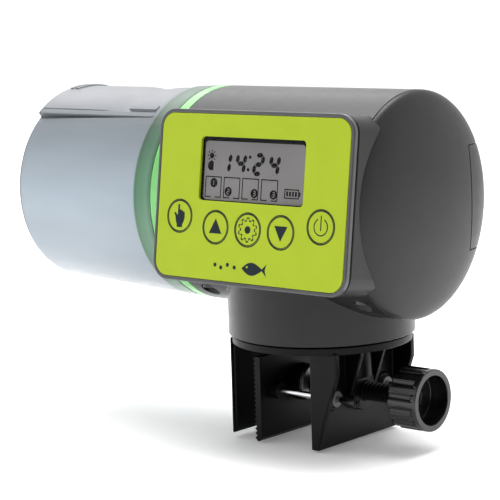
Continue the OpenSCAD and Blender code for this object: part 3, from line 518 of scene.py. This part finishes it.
def fill(bm, outline, w, thick=INK):
    """A flat mark from one outline, its back w mm in front of the face."""
    back = [bm.verts.new(on_face(u, v, w)) for u, v in outline]
    front = [bm.verts.new(on_face(u, v, w + thick)) for u, v in outline]
    bm.faces.new(list(reversed(back)))
    bm.faces.new(front)
    for k in range(len(outline)):
        bm.faces.new((back[k - 1], back[k], front[k], front[k - 1]))


def band(bm, outer, inner, w, thick=INK, closed=True):
    """A flat strip between two outlines with the same number of points."""
    rows = [[bm.verts.new(on_face(u, v, h)) for u, v in line]
            for line, h in ((outer, w), (outer, w + thick), (inner, w + thick), (inner, w))]
    last = len(outer) if closed else len(outer) - 1
    for k in range(last):
        n = (k + 1) % len(outer)
        for a, b in zip(rows, rows[1:] + rows[:1]):
            bm.faces.new((a[k], a[n], b[n], b[k]))
    if not closed:
        for k in (0, -1):
            bm.faces.new([row[k] for row in rows])


def ring(bm, u, v, r, line, w, start=0, end=360, steps=48):
    """A circle or part of one, drawn with a line of width `line`."""
    whole = end - start >= 360
    outer, inner = (arc(u, v, r + s * line / 2, start, end, steps) for s in (1, -1))
    if whole:
        outer, inner = outer[:-1], inner[:-1]
    band(bm, outer, inner, w, closed=whole)


def ink(name, draw, body, material=NAVY):
    """Runs draw(bm) and makes one piece of all that it draws."""
    bm = bmesh.new()
    draw(bm)
    piece(name, bm, body, material, smooth=0)


# %% [markdown]
# ### Keys
# Each key shows a symbol inside a ring. The ring is printed partly on the plate and partly on the
# key, with the gap between them hidden in the dark line. The symbols are plain ones: a pointing
# hand to feed now, triangles, a cog to set the clock, and the usual power mark.

# %% Draw the key rings and symbols
RING_R, KEY_LINE_R, RING_LINE = 5.17, 4.69, 0.26
HAND_SIZE = 1.1
COG_TEETH, COG_R, COG_RIM_R, COG_HUB_R, COG_TOOTH = 10, 3.40, 2.95, 1.15, 0.42
POWER_R, POWER_LINE = 2.5, 0.36
KEYS = {}
for node, body in (("feed_button", "feed_key"), ("up_button", "up_key"), ("set_button", "set_key"),
                   ("down_button", "down_key"), ("power_button", "power_key")):
    low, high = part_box(node)
    centre = (low + high) / 2 - PANEL
    KEYS[body] = (centre.dot(RIGHT) / MM, centre.dot(UP) / MM)


def hand(bm):
    """A hand with one finger up: its outline runs from the finger round to the thumb."""
    finger = [(-0.75, 1.0), (-0.72, 3.0)] + arc(-0.42, 3.05, 0.30, 175, 5, 6) + [(-0.05, 1.75)]
    knuckles = [(0.45, 1.85), (0.62, 1.5), (1.05, 1.6), (1.22, 1.25), (1.62, 1.25), (1.85, 0.85)]
    palm = [(1.85, -0.5), (1.6, -1.5), (1.1, -2.35), (1.05, -3.2), (-0.95, -3.2), (-0.95, -2.4)]
    thumb = [(-1.35, -1.7), (-1.55, -0.8), (-1.6, -0.2), (-2.1, 0.6), (-1.95, 1.0), (-1.6, 0.95)]
    crook = [(-1.1, 0.35), (-0.78, 0.25)]
    outline = finger + knuckles + palm + thumb + crook
    fill(bm, shifted(list(reversed(outline)), *KEYS["feed_key"], HAND_SIZE), 0)


def triangle(body, side):
    """Draws a triangle that points up when side is 1 and down when it is -1."""
    def draw(bm):
        points = [(-2.55, -1.9), (2.55, -1.9), (0, 2.7)]
        if side < 0:
            points = [(-a, -b) for a, b in points]
        fill(bm, shifted(points, *KEYS[body]), 0)
    return draw


def cog(bm):
    """A toothed outline: a wave with its tops and bottoms cut flat."""
    u, v = KEYS["set_key"]
    steps, steepness = 120, 1.9
    outer, inner = [], []
    for k in range(steps):
        a = 2 * math.pi * k / steps
        wave = max(-1.0, min(1.0, steepness * math.cos(COG_TEETH * (a - math.pi / 2))))
        for line, r in ((outer, COG_R + COG_TOOTH * wave), (inner, COG_RIM_R + COG_TOOTH * wave)):
            line.append((u + r * math.cos(a), v + r * math.sin(a)))
    band(bm, outer, inner, 0)
    fill(bm, disc(u, v, COG_HUB_R), 0)


def power(bm):
    """An open ring with a bar in its gap."""
    u, v = KEYS["power_key"]
    ring(bm, u, v, POWER_R, POWER_LINE, 0, 118, 422, 40)
    fill(bm, bar(u - POWER_LINE / 2, v - 1.1, u + POWER_LINE / 2, v + 3.4), 0)


SYMBOLS = {"feed_key": hand, "up_key": triangle("up_key", 1), "set_key": cog,
           "down_key": triangle("down_key", -1), "power_key": power}
for body, draw in SYMBOLS.items():
    u, v = KEYS[body]
    ink(body + "_symbol", draw, body)
    ink(body + "_edge_line", lambda bm: ring(bm, u, v, KEY_LINE_R, RING_LINE, 0), body)
    ink(body + "_ring", lambda bm: ring(bm, u, v, RING_R, RING_LINE, 0), "feeder")
print("keys at", {k: tuple(round(x, 1) for x in p) for k, p in KEYS.items()})

# %% [markdown]
# ### A pictogram
# Below the keys a plain picture says what the box does: a small fish and a row of grains in front
# of it. The fish is two arcs that meet at the nose, with a forked tail.

# %% Draw the fish and the grains
def fish_outline(u, v, length, height):
    """A body of two arcs, nose to the left at u, v, and a forked tail."""
    top, steps, slim, stalk = [], 14, 0.25, 0.25
    for k in range(steps + 1):
        t = k / steps
        arch = height / 2 * math.sin(math.pi * t) * (1 - slim * t)
        top.append((u + length * t, v + arch + stalk * t))
    tail_u, fork_u, spread = u + length * 1.22, u + length * 1.14, height * 0.46
    tail = [(tail_u, v + spread), (fork_u, v), (tail_u, v - spread)]
    under = [(a, 2 * v - b) for a, b in reversed(top[1:])]
    return list(reversed(top + tail + under))


NOSE_U, NOSE_V, FISH_LEN, FISH_TALL = -1.5, -20.8, 8.0, 4.2
EYE_R, EYE_THICK = 0.36, 0.02
GRAIN_R = 0.62


def pictogram(bm):
    fill(bm, fish_outline(NOSE_U, NOSE_V, FISH_LEN, FISH_TALL), 0)
    for u, v in ((-4.4, -20.8), (-7.2, -20.2), (-9.8, -21.2), (-12.2, -20.5)):
        fill(bm, disc(u, v, GRAIN_R, 20), 0)


def eye(bm):
    fill(bm, disc(NOSE_U + 2.1, NOSE_V + 0.5, EYE_R, 16), INK, EYE_THICK)


ink("feeding_pictogram", pictogram, "feeder")
ink("fish_eye", eye, "feeder", LIME)

# %% [markdown]
# ## The display
# A seven-segment figure is seven pointed bars in a slanted cell. Which bars are on is a string of
# letters, as in a maker's data sheet: a on top, then clockwise to f, with g across the middle.
# The display shows a time, four meal boxes with numbered dots, a day and night mark and a battery.

# %% Helpers: slanted figures
LCD_FRONT = -1.05       # front of the display's sheet, in mm from the face
INK_ON_LCD = LCD_FRONT + 0.002
LCD_INK = 0.02
SLANT = 0.14
LIT = {"1": "bc", "2": "abged", "3": "abgcd", "4": "fgbc"}


def segment(u0, v0, u1, v1, thick):
    """A bar with pointed ends from one place to another."""
    along = Vector((u1 - u0, v1 - v0)).normalized()
    side = Vector((-along.y, along.x)) * thick / 2
    a, b = Vector((u0, v0)), Vector((u1, v1))
    tip = along * thick / 2
    return [tuple(p) for p in (a, a + tip - side, b - tip - side, b, b - tip + side, a + tip + side)]


def figure(bm, sign, u, v, wide, tall, thick, w, slant, ink_thick):
    """One figure whose cell stands on u, v."""
    h, gap = thick / 2, thick * 0.08
    left, right, low, mid, top = h, wide - h, h, tall / 2, tall - h
    places = {"a": (left, top, right, top), "b": (right, top, right, mid),
              "c": (right, mid, right, low), "d": (left, low, right, low),
              "e": (left, mid, left, low), "f": (left, top, left, mid), "g": (left, mid, right, mid)}
    for letter in LIT[sign]:
        u0, v0, u1, v1 = places[letter]
        run = Vector((u1 - u0, v1 - v0)).normalized() * gap
        outline = segment(u0 + run.x, v0 + run.y, u1 - run.x, v1 - run.y, thick)
        fill(bm, [(u + a + slant * b, v + b) for a, b in outline], w, ink_thick)


# %% Draw what the display shows
LINE = 0.34                                 # thickness of the thin lines
TIME_V, TIME_W, TIME_TALL, TIME_BAR = 7.1, 4.3, 7.0, 1.4
COLON_U, COLON_R = -2.3, 0.52
BOXES = (-19.0, -11.5, -4.1, 3.4)           # left edges of the four boxes
BOX_W, BOX_LOW, BOX_TOP, BOX_GAP = 6.6, 0.2, 6.0, (0.38, 0.62)
DOTS = ((3.5, 4.15, "1"), (2.0, 1.75, "2"), (5.0, 1.65, "3"), (5.0, 1.65, "3"))
DOT_R, DOT_INK = 1.42, 0.022
NUMBER_W, NUMBER_TALL, NUMBER_BAR, NUMBER_SLANT, NUMBER_INK = 1.05, 1.7, 0.26, 0.08, 0.01
SUN_R, RAY_IN, RAY_OUT, RAY_HALF = 0.9, 1.2, 1.8, 0.18
MOON_R, MOON_BITE_R, MOON_SHIFT = 1.45, 1.3, 0.83
CELL_BARS, BAR_STEP, BAR_W, BAR_MARGIN = 4, 1.12, 0.70, 0.72


def lit(bm, outline, thick=LCD_INK):
    """A dark mark on the display's sheet."""
    fill(bm, outline, INK_ON_LCD, thick)


def time_of_day(bm):
    for sign, u in (("1", -13.6), ("4", -7.75), ("2", -0.7), ("4", 5.5)):
        figure(bm, sign, u, TIME_V, TIME_W, TIME_TALL, TIME_BAR, INK_ON_LCD, SLANT, LCD_INK)
    for v in (8.9, 12.7):
        lit(bm, disc(COLON_U + SLANT * (v - TIME_V), v, COLON_R, 20))


def meal_boxes(bm):
    """Four boxes open in the middle of their lower side, with a dot in each."""
    for u in BOXES:
        gap_start, gap_end = (u + BOX_W * share for share in BOX_GAP)
        lit(bm, bar(u, BOX_LOW, u + LINE, BOX_TOP))
        lit(bm, bar(u + BOX_W - LINE, BOX_LOW, u + BOX_W, BOX_TOP))
        lit(bm, bar(u, BOX_TOP, u + BOX_W, BOX_TOP + LINE))
        lit(bm, bar(u, BOX_LOW - LINE, gap_start, BOX_LOW))
        lit(bm, bar(gap_end, BOX_LOW - LINE, u + BOX_W, BOX_LOW))
    for u, (du, dv, _) in zip(BOXES, DOTS):
        lit(bm, disc(u + du, BOX_LOW + dv, DOT_R, 28), DOT_INK)


def dot_numbers(bm):
    """Pale figures on the dots. The bars of a 1 stand on the right of its cell, so it moves left."""
    for u, (du, dv, sign) in zip(BOXES, DOTS):
        shift = 1.07 if sign == "1" else 0.62
        figure(bm, sign, u + du - shift, BOX_LOW + dv - NUMBER_TALL / 2, NUMBER_W, NUMBER_TALL,
               NUMBER_BAR, INK_ON_LCD + DOT_INK, NUMBER_SLANT, NUMBER_INK)


def day_and_night(bm):
    """A sun with eight rays over a crescent moon."""
    u, day, night = -16.9, 12.6, 9.5
    lit(bm, disc(u, day, SUN_R, 20))
    for k in range(8):
        a = math.radians(45 * k)
        c, s = math.cos(a), math.sin(a)
        ray = bar(RAY_IN, -RAY_HALF, RAY_OUT, RAY_HALF)
        lit(bm, [(u + p * c - q * s, day + p * s + q * c) for p, q in ray])
    outer = arc(u, night, MOON_R, 60, 300, 20)
    inner = arc(u + MOON_SHIFT, night, MOON_BITE_R, 282, 78, 20)
    lit(bm, outer + inner[1:-1])


def battery_mark(bm):
    """A full battery: a frame, a nub and four bars."""
    u0, v0, u1, v1 = 12.6, 1.0, 18.2, 3.9
    hole = bar(u0 + LINE, v0 + LINE, u1 - LINE, v1 - LINE)
    band(bm, bar(u0, v0, u1, v1), hole, INK_ON_LCD, LCD_INK)
    lit(bm, bar(u1 + 0.02, 1.8, u1 + 0.55, 3.1))
    for k in range(CELL_BARS):
        left = u0 + BAR_MARGIN + BAR_STEP * k
        lit(bm, bar(left, v0 + BAR_MARGIN, left + BAR_W, v1 - BAR_MARGIN))


for name, draw in (("time_figures", time_of_day), ("meal_boxes", meal_boxes),
                   ("day_and_night_marks", day_and_night), ("battery_mark", battery_mark)):
    ink(name, draw, "feeder", SEGMENT)
ink("meal_numbers", dot_numbers, "feeder", LCD)

# %% [markdown]
# The display is darkened near its edges by painted shade, more at the top than at the sides,
# where the rim of the window's recess shades it. The painted shade is a black band between two
# rounded outlines, and it reaches half a millimetre under the face.

# %% Painted shade round the display
lens_low, lens_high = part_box("window_lens")
lens = (lens_low + lens_high) / 2 - PANEL
LENS_U, LENS_V = lens.dot(RIGHT) / MM, lens.dot(UP) / MM
LENS_W = (lens_high.x - lens_low.x) / MM
LENS_H = 19.5
UNDER, CORNER_R = 0.5, 1.2
# Widths of the black band of painted shade at each side of the display, in mm.
SHADE_LEFT, SHADE_LOW, SHADE_RIGHT, SHADE_TOP = 1.45, 0.75, 1.25, 1.75
SHADE_LIFT, SHADE_THICK = 0.003, 0.03


def rounded(u0, v0, u1, v1, r, steps=6):
    """A rectangle with round corners, as one outline."""
    points = []
    corners = ((u1 - r, v1 - r), (u0 + r, v1 - r), (u0 + r, v0 + r), (u1 - r, v0 + r))
    for (u, v), start in zip(corners, (0, 90, 180, 270)):
        points += arc(u, v, r, start, start + 90, steps)
    return points


# A black band of painted shade round the edges of the display's recess.
def painted_recess_shade(bm):
    u0, u1 = LENS_U - LENS_W / 2 - UNDER, LENS_U + LENS_W / 2 + UNDER
    v0, v1 = LENS_V - LENS_H / 2 - UNDER, LENS_V + LENS_H / 2 + UNDER
    outer = rounded(u0, v0, u1, v1, CORNER_R)
    inner = rounded(u0 + SHADE_LEFT, v0 + SHADE_LOW, u1 - SHADE_RIGHT, v1 - SHADE_TOP, CORNER_R)
    band(bm, outer, inner, LCD_FRONT + SHADE_LIFT, SHADE_THICK)


# The display's edges get their painted shade as one black piece.
ink("display_painted_shade", painted_recess_shade, "feeder", SEGMENT)
print("lens centre", round(LENS_U, 2), round(LENS_V, 2), "width", round(LENS_W, 1))

# %% [markdown]
# ## Inside the box
# The inside shows only when the battery door slides off, but it is real: a lacquered board with
# its parts, a gear train, a tray with two cells. The frame has the shapes; here they get metals
# and plastics. The springs are redrawn, because a contact spring is one wire wound into a cone.

# %% Dress the works
for node, material, edge in (
        ("lcd_connector", RUBBER, 0.1), ("circuit_board", BOARD, 0.08),
        ("control_chip", BLACK_PART, 0.08), ("tact_switches", BLACK_PART, 0.08),
        ("board_screws", ZINC, 0.08), ("battery_tray", BLACK_PART, 0.2),
        ("contact_plates", NICKEL, 0.05), ("gearbox_plate", ACETAL, 0.2),
        ("gearbox_screws", ZINC, 0.08), ("gear_motor", CAN, 0.2),
        ("position_switch", BLACK_PART, 0.1), ("motor_shaft", STEEL, 0.1),
        ("motor_pinion", BRASS, 0.0), ("drive_shaft", STEEL, 0.15), ("output_gear", ACETAL, 0.0),
        ("position_cam", CAM_BLUE, 0.15), ("drive_hub", ACETAL, 0.15)):
    dress(node, material, edge)

# %% Wind the contact springs
WIRE_R = 0.35 * MM
TURNS, WIDE_R, NARROW_R = 4.5, 3.8 * MM, 2.3 * MM
STEPS_PER_COIL = 22
FLAT_TURNS = 0.9        # the first and last turns lie flat on what they touch


def swept(bm, points, r, sides=10):
    """A closed tube along points."""
    rings = []
    for k, p in enumerate(points):
        ahead = (points[min(k + 1, len(points) - 1)] - points[max(k - 1, 0)]).normalized()
        side = ahead.cross(Vector((1, 0, 0))).normalized()
        other = ahead.cross(side)
        rings.append([bm.verts.new(p + (side * math.cos(a) + other * math.sin(a)) * r)
                      for a in (2 * math.pi * j / sides for j in range(sides))])
    for near, far in zip(rings, rings[1:]):
        for j in range(sides):
            bm.faces.new((near[j - 1], near[j], far[j], far[j - 1]))
    bm.faces.new(rings[0])
    bm.faces.new(reversed(rings[-1]))


def spring(bm, low, high, wide_end):
    """A cone of wire that fills a box along x, wide at the end on the side of `wide_end`."""
    centre = (low + high) / 2
    start, end = (low.x, high.x) if wide_end < 0 else (high.x, low.x)
    start, end = start - wide_end * WIRE_R, end + wide_end * WIRE_R
    points, steps = [], int(TURNS * STEPS_PER_COIL)
    for k in range(steps + 1):
        t = k / steps
        climb = min(1.0, max(0.0, (t * TURNS - FLAT_TURNS) / (TURNS - 2 * FLAT_TURNS)))
        a, r = 2 * math.pi * TURNS * t, WIDE_R + (NARROW_R - WIDE_R) * t
        place = (start + (end - start) * climb, centre.y + r * math.cos(a), centre.z + r * math.sin(a))
        points.append(Vector(place))
    swept(bm, points, WIRE_R)


spring_boxes = solids("contact_springs")
tray_low, tray_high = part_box("battery_tray")
tray_middle = (tray_low.x + tray_high.x) / 2
lower_boxes = [b for b in spring_boxes if b[1].x < tray_middle]
upper_boxes = [b for b in spring_boxes if b[0].x > tray_middle]
bm = bmesh.new()
for group, wide_end in ((lower_boxes, -1), (upper_boxes, 1)):
    low = Vector(map(min, *[b[0] for b in group], group[0][0]))
    high = Vector(map(max, *[b[1] for b in group], group[0][1]))
    spring(bm, low, high, wide_end)
springs = piece("wound_contact_springs", bm, "feeder", NICKEL, smooth=60)
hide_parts("contact_springs")
print(len(spring_boxes), "spring solids in the frame, wound as 2 springs")

# %% [markdown]
# A dry cell is a steel can with a small nub at one end, in a printed sleeve that shrinks over its
# rounded shoulders and has a silver band towards the nub. The lathe from the screw makes all
# three: only the profile changes, as pairs of distance along the cell and radius.

# %% Turn the cells
NUB_R, NUB_LEN, RIM = 2.7, 1.5, 0.5     # the rim is how far the bare can stands inside the sleeve
BAND_FROM = 0.74                        # share of the body where the band of the sleeve begins


def turned(bm, centre, x0, way, profile, sides=48):
    """A solid of revolution from (distance, radius) pairs in mm, starting at x0 and going one way."""
    stations = [x0 + way * d * MM for d, r in profile]
    radii = {x: r * MM for x, (d, r) in zip(stations, profile)}
    lathe(bm, centre, stations, lambda x, a: radii[x], sides)


for number, (low, high) in enumerate(solids("battery_cells")):
    centre = (low + high) / 2
    cell_r = (high.z - low.z) / 2 / MM
    length = (high.x - low.x) / MM
    way = 1 if number == 0 else -1
    x0 = low.x if way > 0 else high.x
    body_len = length - NUB_LEN
    seam = body_len * BAND_FROM
    bm = bmesh.new()
    turned(bm, centre, x0, way, [
        (0, cell_r - 2.2), (0.001, cell_r - 1.0), (0.3, cell_r - RIM),
        (body_len - 0.25, cell_r - RIM), (body_len - 0.1, cell_r - 1.6),
        (body_len, NUB_R), (length - 0.25, NUB_R), (length, NUB_R - 0.3)])
    piece(f"cell_{number + 1}_can", bm, "feeder", NICKEL, smooth=35)
    bm = bmesh.new()
    turned(bm, centre, x0, way, [
        (0.05, cell_r - 0.9), (0.12, cell_r - 0.35), (0.4, cell_r),
        (seam, cell_r), (seam + 0.01, cell_r - 0.02)])
    sleeve = piece(f"cell_{number + 1}_sleeve", bm, "feeder", SLEEVE, smooth=35)
    bm = bmesh.new()
    turned(bm, centre, x0, way, [
        (seam + 0.02, cell_r - 0.02), (seam + 0.03, cell_r), (body_len - 0.5, cell_r),
        (body_len - 0.2, cell_r - 0.35), (body_len - 0.12, cell_r - 1.0)])
    piece(f"cell_{number + 1}_band", bm, "feeder", BAND, smooth=35)
    if number == 0:
        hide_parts("battery_cells")
print("cells are", round(cell_r * 2, 1), "mm across and", round(length, 1), "mm long")

# %% [markdown]
# ## The food drum
# The drum is moulded in smoky clear plastic. Its closed end is on the far left, and a shutter
# slides along its top to set how much food falls. The green cap plugs its open end. Only its ring
# shows bright; the rest glows through the drum wall, as green painted into the drum's colour. Two
# runs of painted light and shade do what the clear wall would need many bounces of light for. By
# height the drum is palest a little above the middle, with painted shade towards its top and bottom.
# Along its length there is a painted dark line of shade inside the closed end, and painted green
# where the cap's skirt lies under the wall.

# %% Dress the drum
drum_low, drum_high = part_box("drum")
drum_origin = NODES["drum"].matrix_world.translation
middle_z = ((drum_low.z + drum_high.z) / 2 - drum_origin.z) / MM
closed_x, open_x = (drum_low.x - drum_origin.x) / MM, (drum_high.x - drum_origin.x) / MM
skirt_x = (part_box("drum_cap")[0].x - drum_origin.x) / MM
# Painted shade by height: palest a little above the middle, darker towards the top and the bottom.
along(SMOKE, "Z", [(middle_z + up, grey) for up, grey in (
    (-34, 0.62), (-8, 0.95), (1, 1.0), (12, 0.76), (26, 0.36))])
# Painted along the length: a dark line of painted shade inside the closed end, then the cap's green as seen
# through the wall, painted in, with darker painted shade at the skirt's edge and near the open end.
along(SMOKE, "X", [
    (closed_x + 0.03, 0.9), (closed_x + 0.2, 0.08), (closed_x + 1.3, 0.1), (closed_x + 1.5, 1.0),
    (skirt_x - 0.6, 1.0), (skirt_x + 0.1, (0.12, 0.36, 0.14)), (skirt_x + 1.6, (0.24, 0.56, 0.28)),
    (open_x - 1.6, (0.38, 0.74, 0.42)), (open_x - 0.6, (0.20, 0.46, 0.22)),
    (open_x, (0.40, 0.70, 0.40))])
dress("drum", SMOKE, 0.25)
dress("shutter", SMOKE_DARK, 0.15)
dress("drum_cap", GREEN, 0.3)

# %% [markdown]
# ## Floor, light and camera
# The object stands on a wide pale floor that glows a little, so that it stays white into the
# distance. A large soft panel above gives the shells their broad sheen, and a weaker one high on
# the left draws light along the drum. The sky is bright all round except behind the camera: it is
# dim there, so that dark parts stay dark.

# %% Pale floor
FLOOR_REACH, FLOOR_DROP, FLOOR_GLOW = 9.0, 0.0005, 0.12


def pale_floor():
    """A disc of rings that are fine near the object and wide far away."""
    bm = bmesh.new()
    rings, sides = 24, 96
    turns = [2 * math.pi * j / sides for j in range(sides)]
    last = None
    for k in range(rings + 1):
        r = FLOOR_REACH * (k / rings) ** 2 + 0.001
        row = [bm.verts.new((r * math.cos(a), r * math.sin(a), 0)) for a in turns]
        if last:
            for j in range(sides):
                bm.faces.new((last[j - 1], last[j], row[j], row[j - 1]))
        else:
            bm.faces.new(row)
        last = row
    mesh = bpy.data.meshes.new("floor")
    bm.to_mesh(mesh)
    bm.free()
    made = bpy.data.objects.new("floor", mesh)
    bpy.context.scene.collection.objects.link(made)
    made.location.z = cad_low.z - FLOOR_DROP
    paint = finish("pale_floor", (0.93, 0.93, 0.93), 0.7, gloss=0.1)
    shades(paint, grain(paint, 60.0), (0.96, 0.96, 0.96), (0.98, 0.98, 0.98))
    shader = paint.node_tree.nodes["Principled BSDF"]
    shader.inputs["Emission Color"].default_value = (1, 1, 1, 1)
    shader.inputs["Emission Strength"].default_value = FLOOR_GLOW
    mesh.materials.append(paint)


pale_floor()


# %% Sky and soft panels
MIDDLE = (cad_low + cad_high) / 2
DIM_SIDE = math.radians(45)         # the middle of the dim side, round to the right from the front
DIM_FROM, DIM_TO = 0.1, 0.85        # cosine of the angle to that side, where dimming starts and ends
SKY_TOP = 0.9                       # height above which the sky no longer changes


def soft_panel(name, place, target, size, power):
    """A rectangular light of some watts, turned to face a place."""
    light = bpy.data.lights.new(name, "AREA")
    light.shape = "RECTANGLE"
    light.size, light.size_y = size
    light.energy = power
    made = bpy.data.objects.new(name, light)
    bpy.context.scene.collection.objects.link(made)
    made.location = place
    made.rotation_euler = (Vector(target) - Vector(place)).to_track_quat("-Z", "Y").to_euler()


def sky(low, high, front):
    """A white sky whose strength goes from `low` at the horizon to `high` at the top, and falls to
    a share `front` of that on its dim side."""
    world = bpy.data.worlds.new("studio")
    bpy.context.scene.world = world
    world.use_nodes = True
    tree = world.node_tree
    place = tree.nodes.new("ShaderNodeTexCoord")
    split = tree.nodes.new("ShaderNodeSeparateXYZ")
    spread = tree.nodes.new("ShaderNodeMapRange")
    for label, value in (("From Min", 0.0), ("From Max", SKY_TOP), ("To Min", low), ("To Max", high)):
        spread.inputs[label].default_value = value
    facing = tree.nodes.new("ShaderNodeVectorMath")
    facing.operation = "DOT_PRODUCT"
    facing.inputs[1].default_value = (math.sin(DIM_SIDE), -math.cos(DIM_SIDE), 0)
    shade = tree.nodes.new("ShaderNodeMapRange")
    shade.interpolation_type = "SMOOTHSTEP"
    for label, value in (("From Min", DIM_FROM), ("From Max", DIM_TO),
                         ("To Min", 1.0), ("To Max", front)):
        shade.inputs[label].default_value = value
    product = tree.nodes.new("ShaderNodeMath")
    product.operation = "MULTIPLY"
    tree.links.new(place.outputs["Generated"], split.inputs["Vector"])
    tree.links.new(place.outputs["Generated"], facing.inputs[0])
    tree.links.new(split.outputs["Z"], spread.inputs["Value"])
    tree.links.new(facing.outputs["Value"], shade.inputs["Value"])
    tree.links.new(spread.outputs["Result"], product.inputs[0])
    tree.links.new(shade.outputs["Result"], product.inputs[1])
    tree.links.new(product.outputs["Value"], tree.nodes["Background"].inputs["Strength"])
    tree.nodes["Background"].inputs["Color"].default_value = (1, 1, 1, 1)


sky(1.3, 1.15, 0.16)
soft_panel("overhead", (-0.05, 0.1, 0.75), (0, 0, 0.06), (0.8, 0.5), 9.0)
soft_panel("high_left", (-0.63, 0.34, 0.62), MIDDLE, (0.7, 0.4), 1.6)

# %% [markdown]
# The camera stands to the right of the panel, a little above it, with a long lens. Its turn is
# three angles: round the object, down, and a slight tilt of the camera itself.

# %% Camera
CAMERA_PLACE = (0.37035, -0.46046, 0.11667)
ROUND, DOWN, TILT = math.radians(40.96), math.radians(8.43), math.radians(-1.79)
LENS_MM, SENSOR_MM = 135.5, 36.0


def camera():
    """Builds the camera's axes from its three angles: where it looks, its right and its top."""
    ahead = Vector((-math.sin(ROUND) * math.cos(DOWN), math.cos(ROUND) * math.cos(DOWN),
                    -math.sin(DOWN)))
    level = Vector((math.cos(ROUND), math.sin(ROUND), 0))
    above = level.cross(ahead)
    across = level * math.cos(TILT) + above * math.sin(TILT)
    upward = above * math.cos(TILT) - level * math.sin(TILT)
    data = bpy.data.cameras.new("view")
    data.lens, data.sensor_width = LENS_MM, SENSOR_MM
    data.clip_start, data.clip_end = 0.01, 50.0
    made = bpy.data.objects.new("view", data)
    bpy.context.scene.collection.objects.link(made)
    turn = [[across[i], upward[i], -ahead[i], CAMERA_PLACE[i]] for i in range(3)] + [[0, 0, 0, 1]]
    made.matrix_world = type(made.matrix_world)(turn)
    bpy.context.scene.camera = made


camera()
bpy.context.scene.view_settings.view_transform = "Standard"
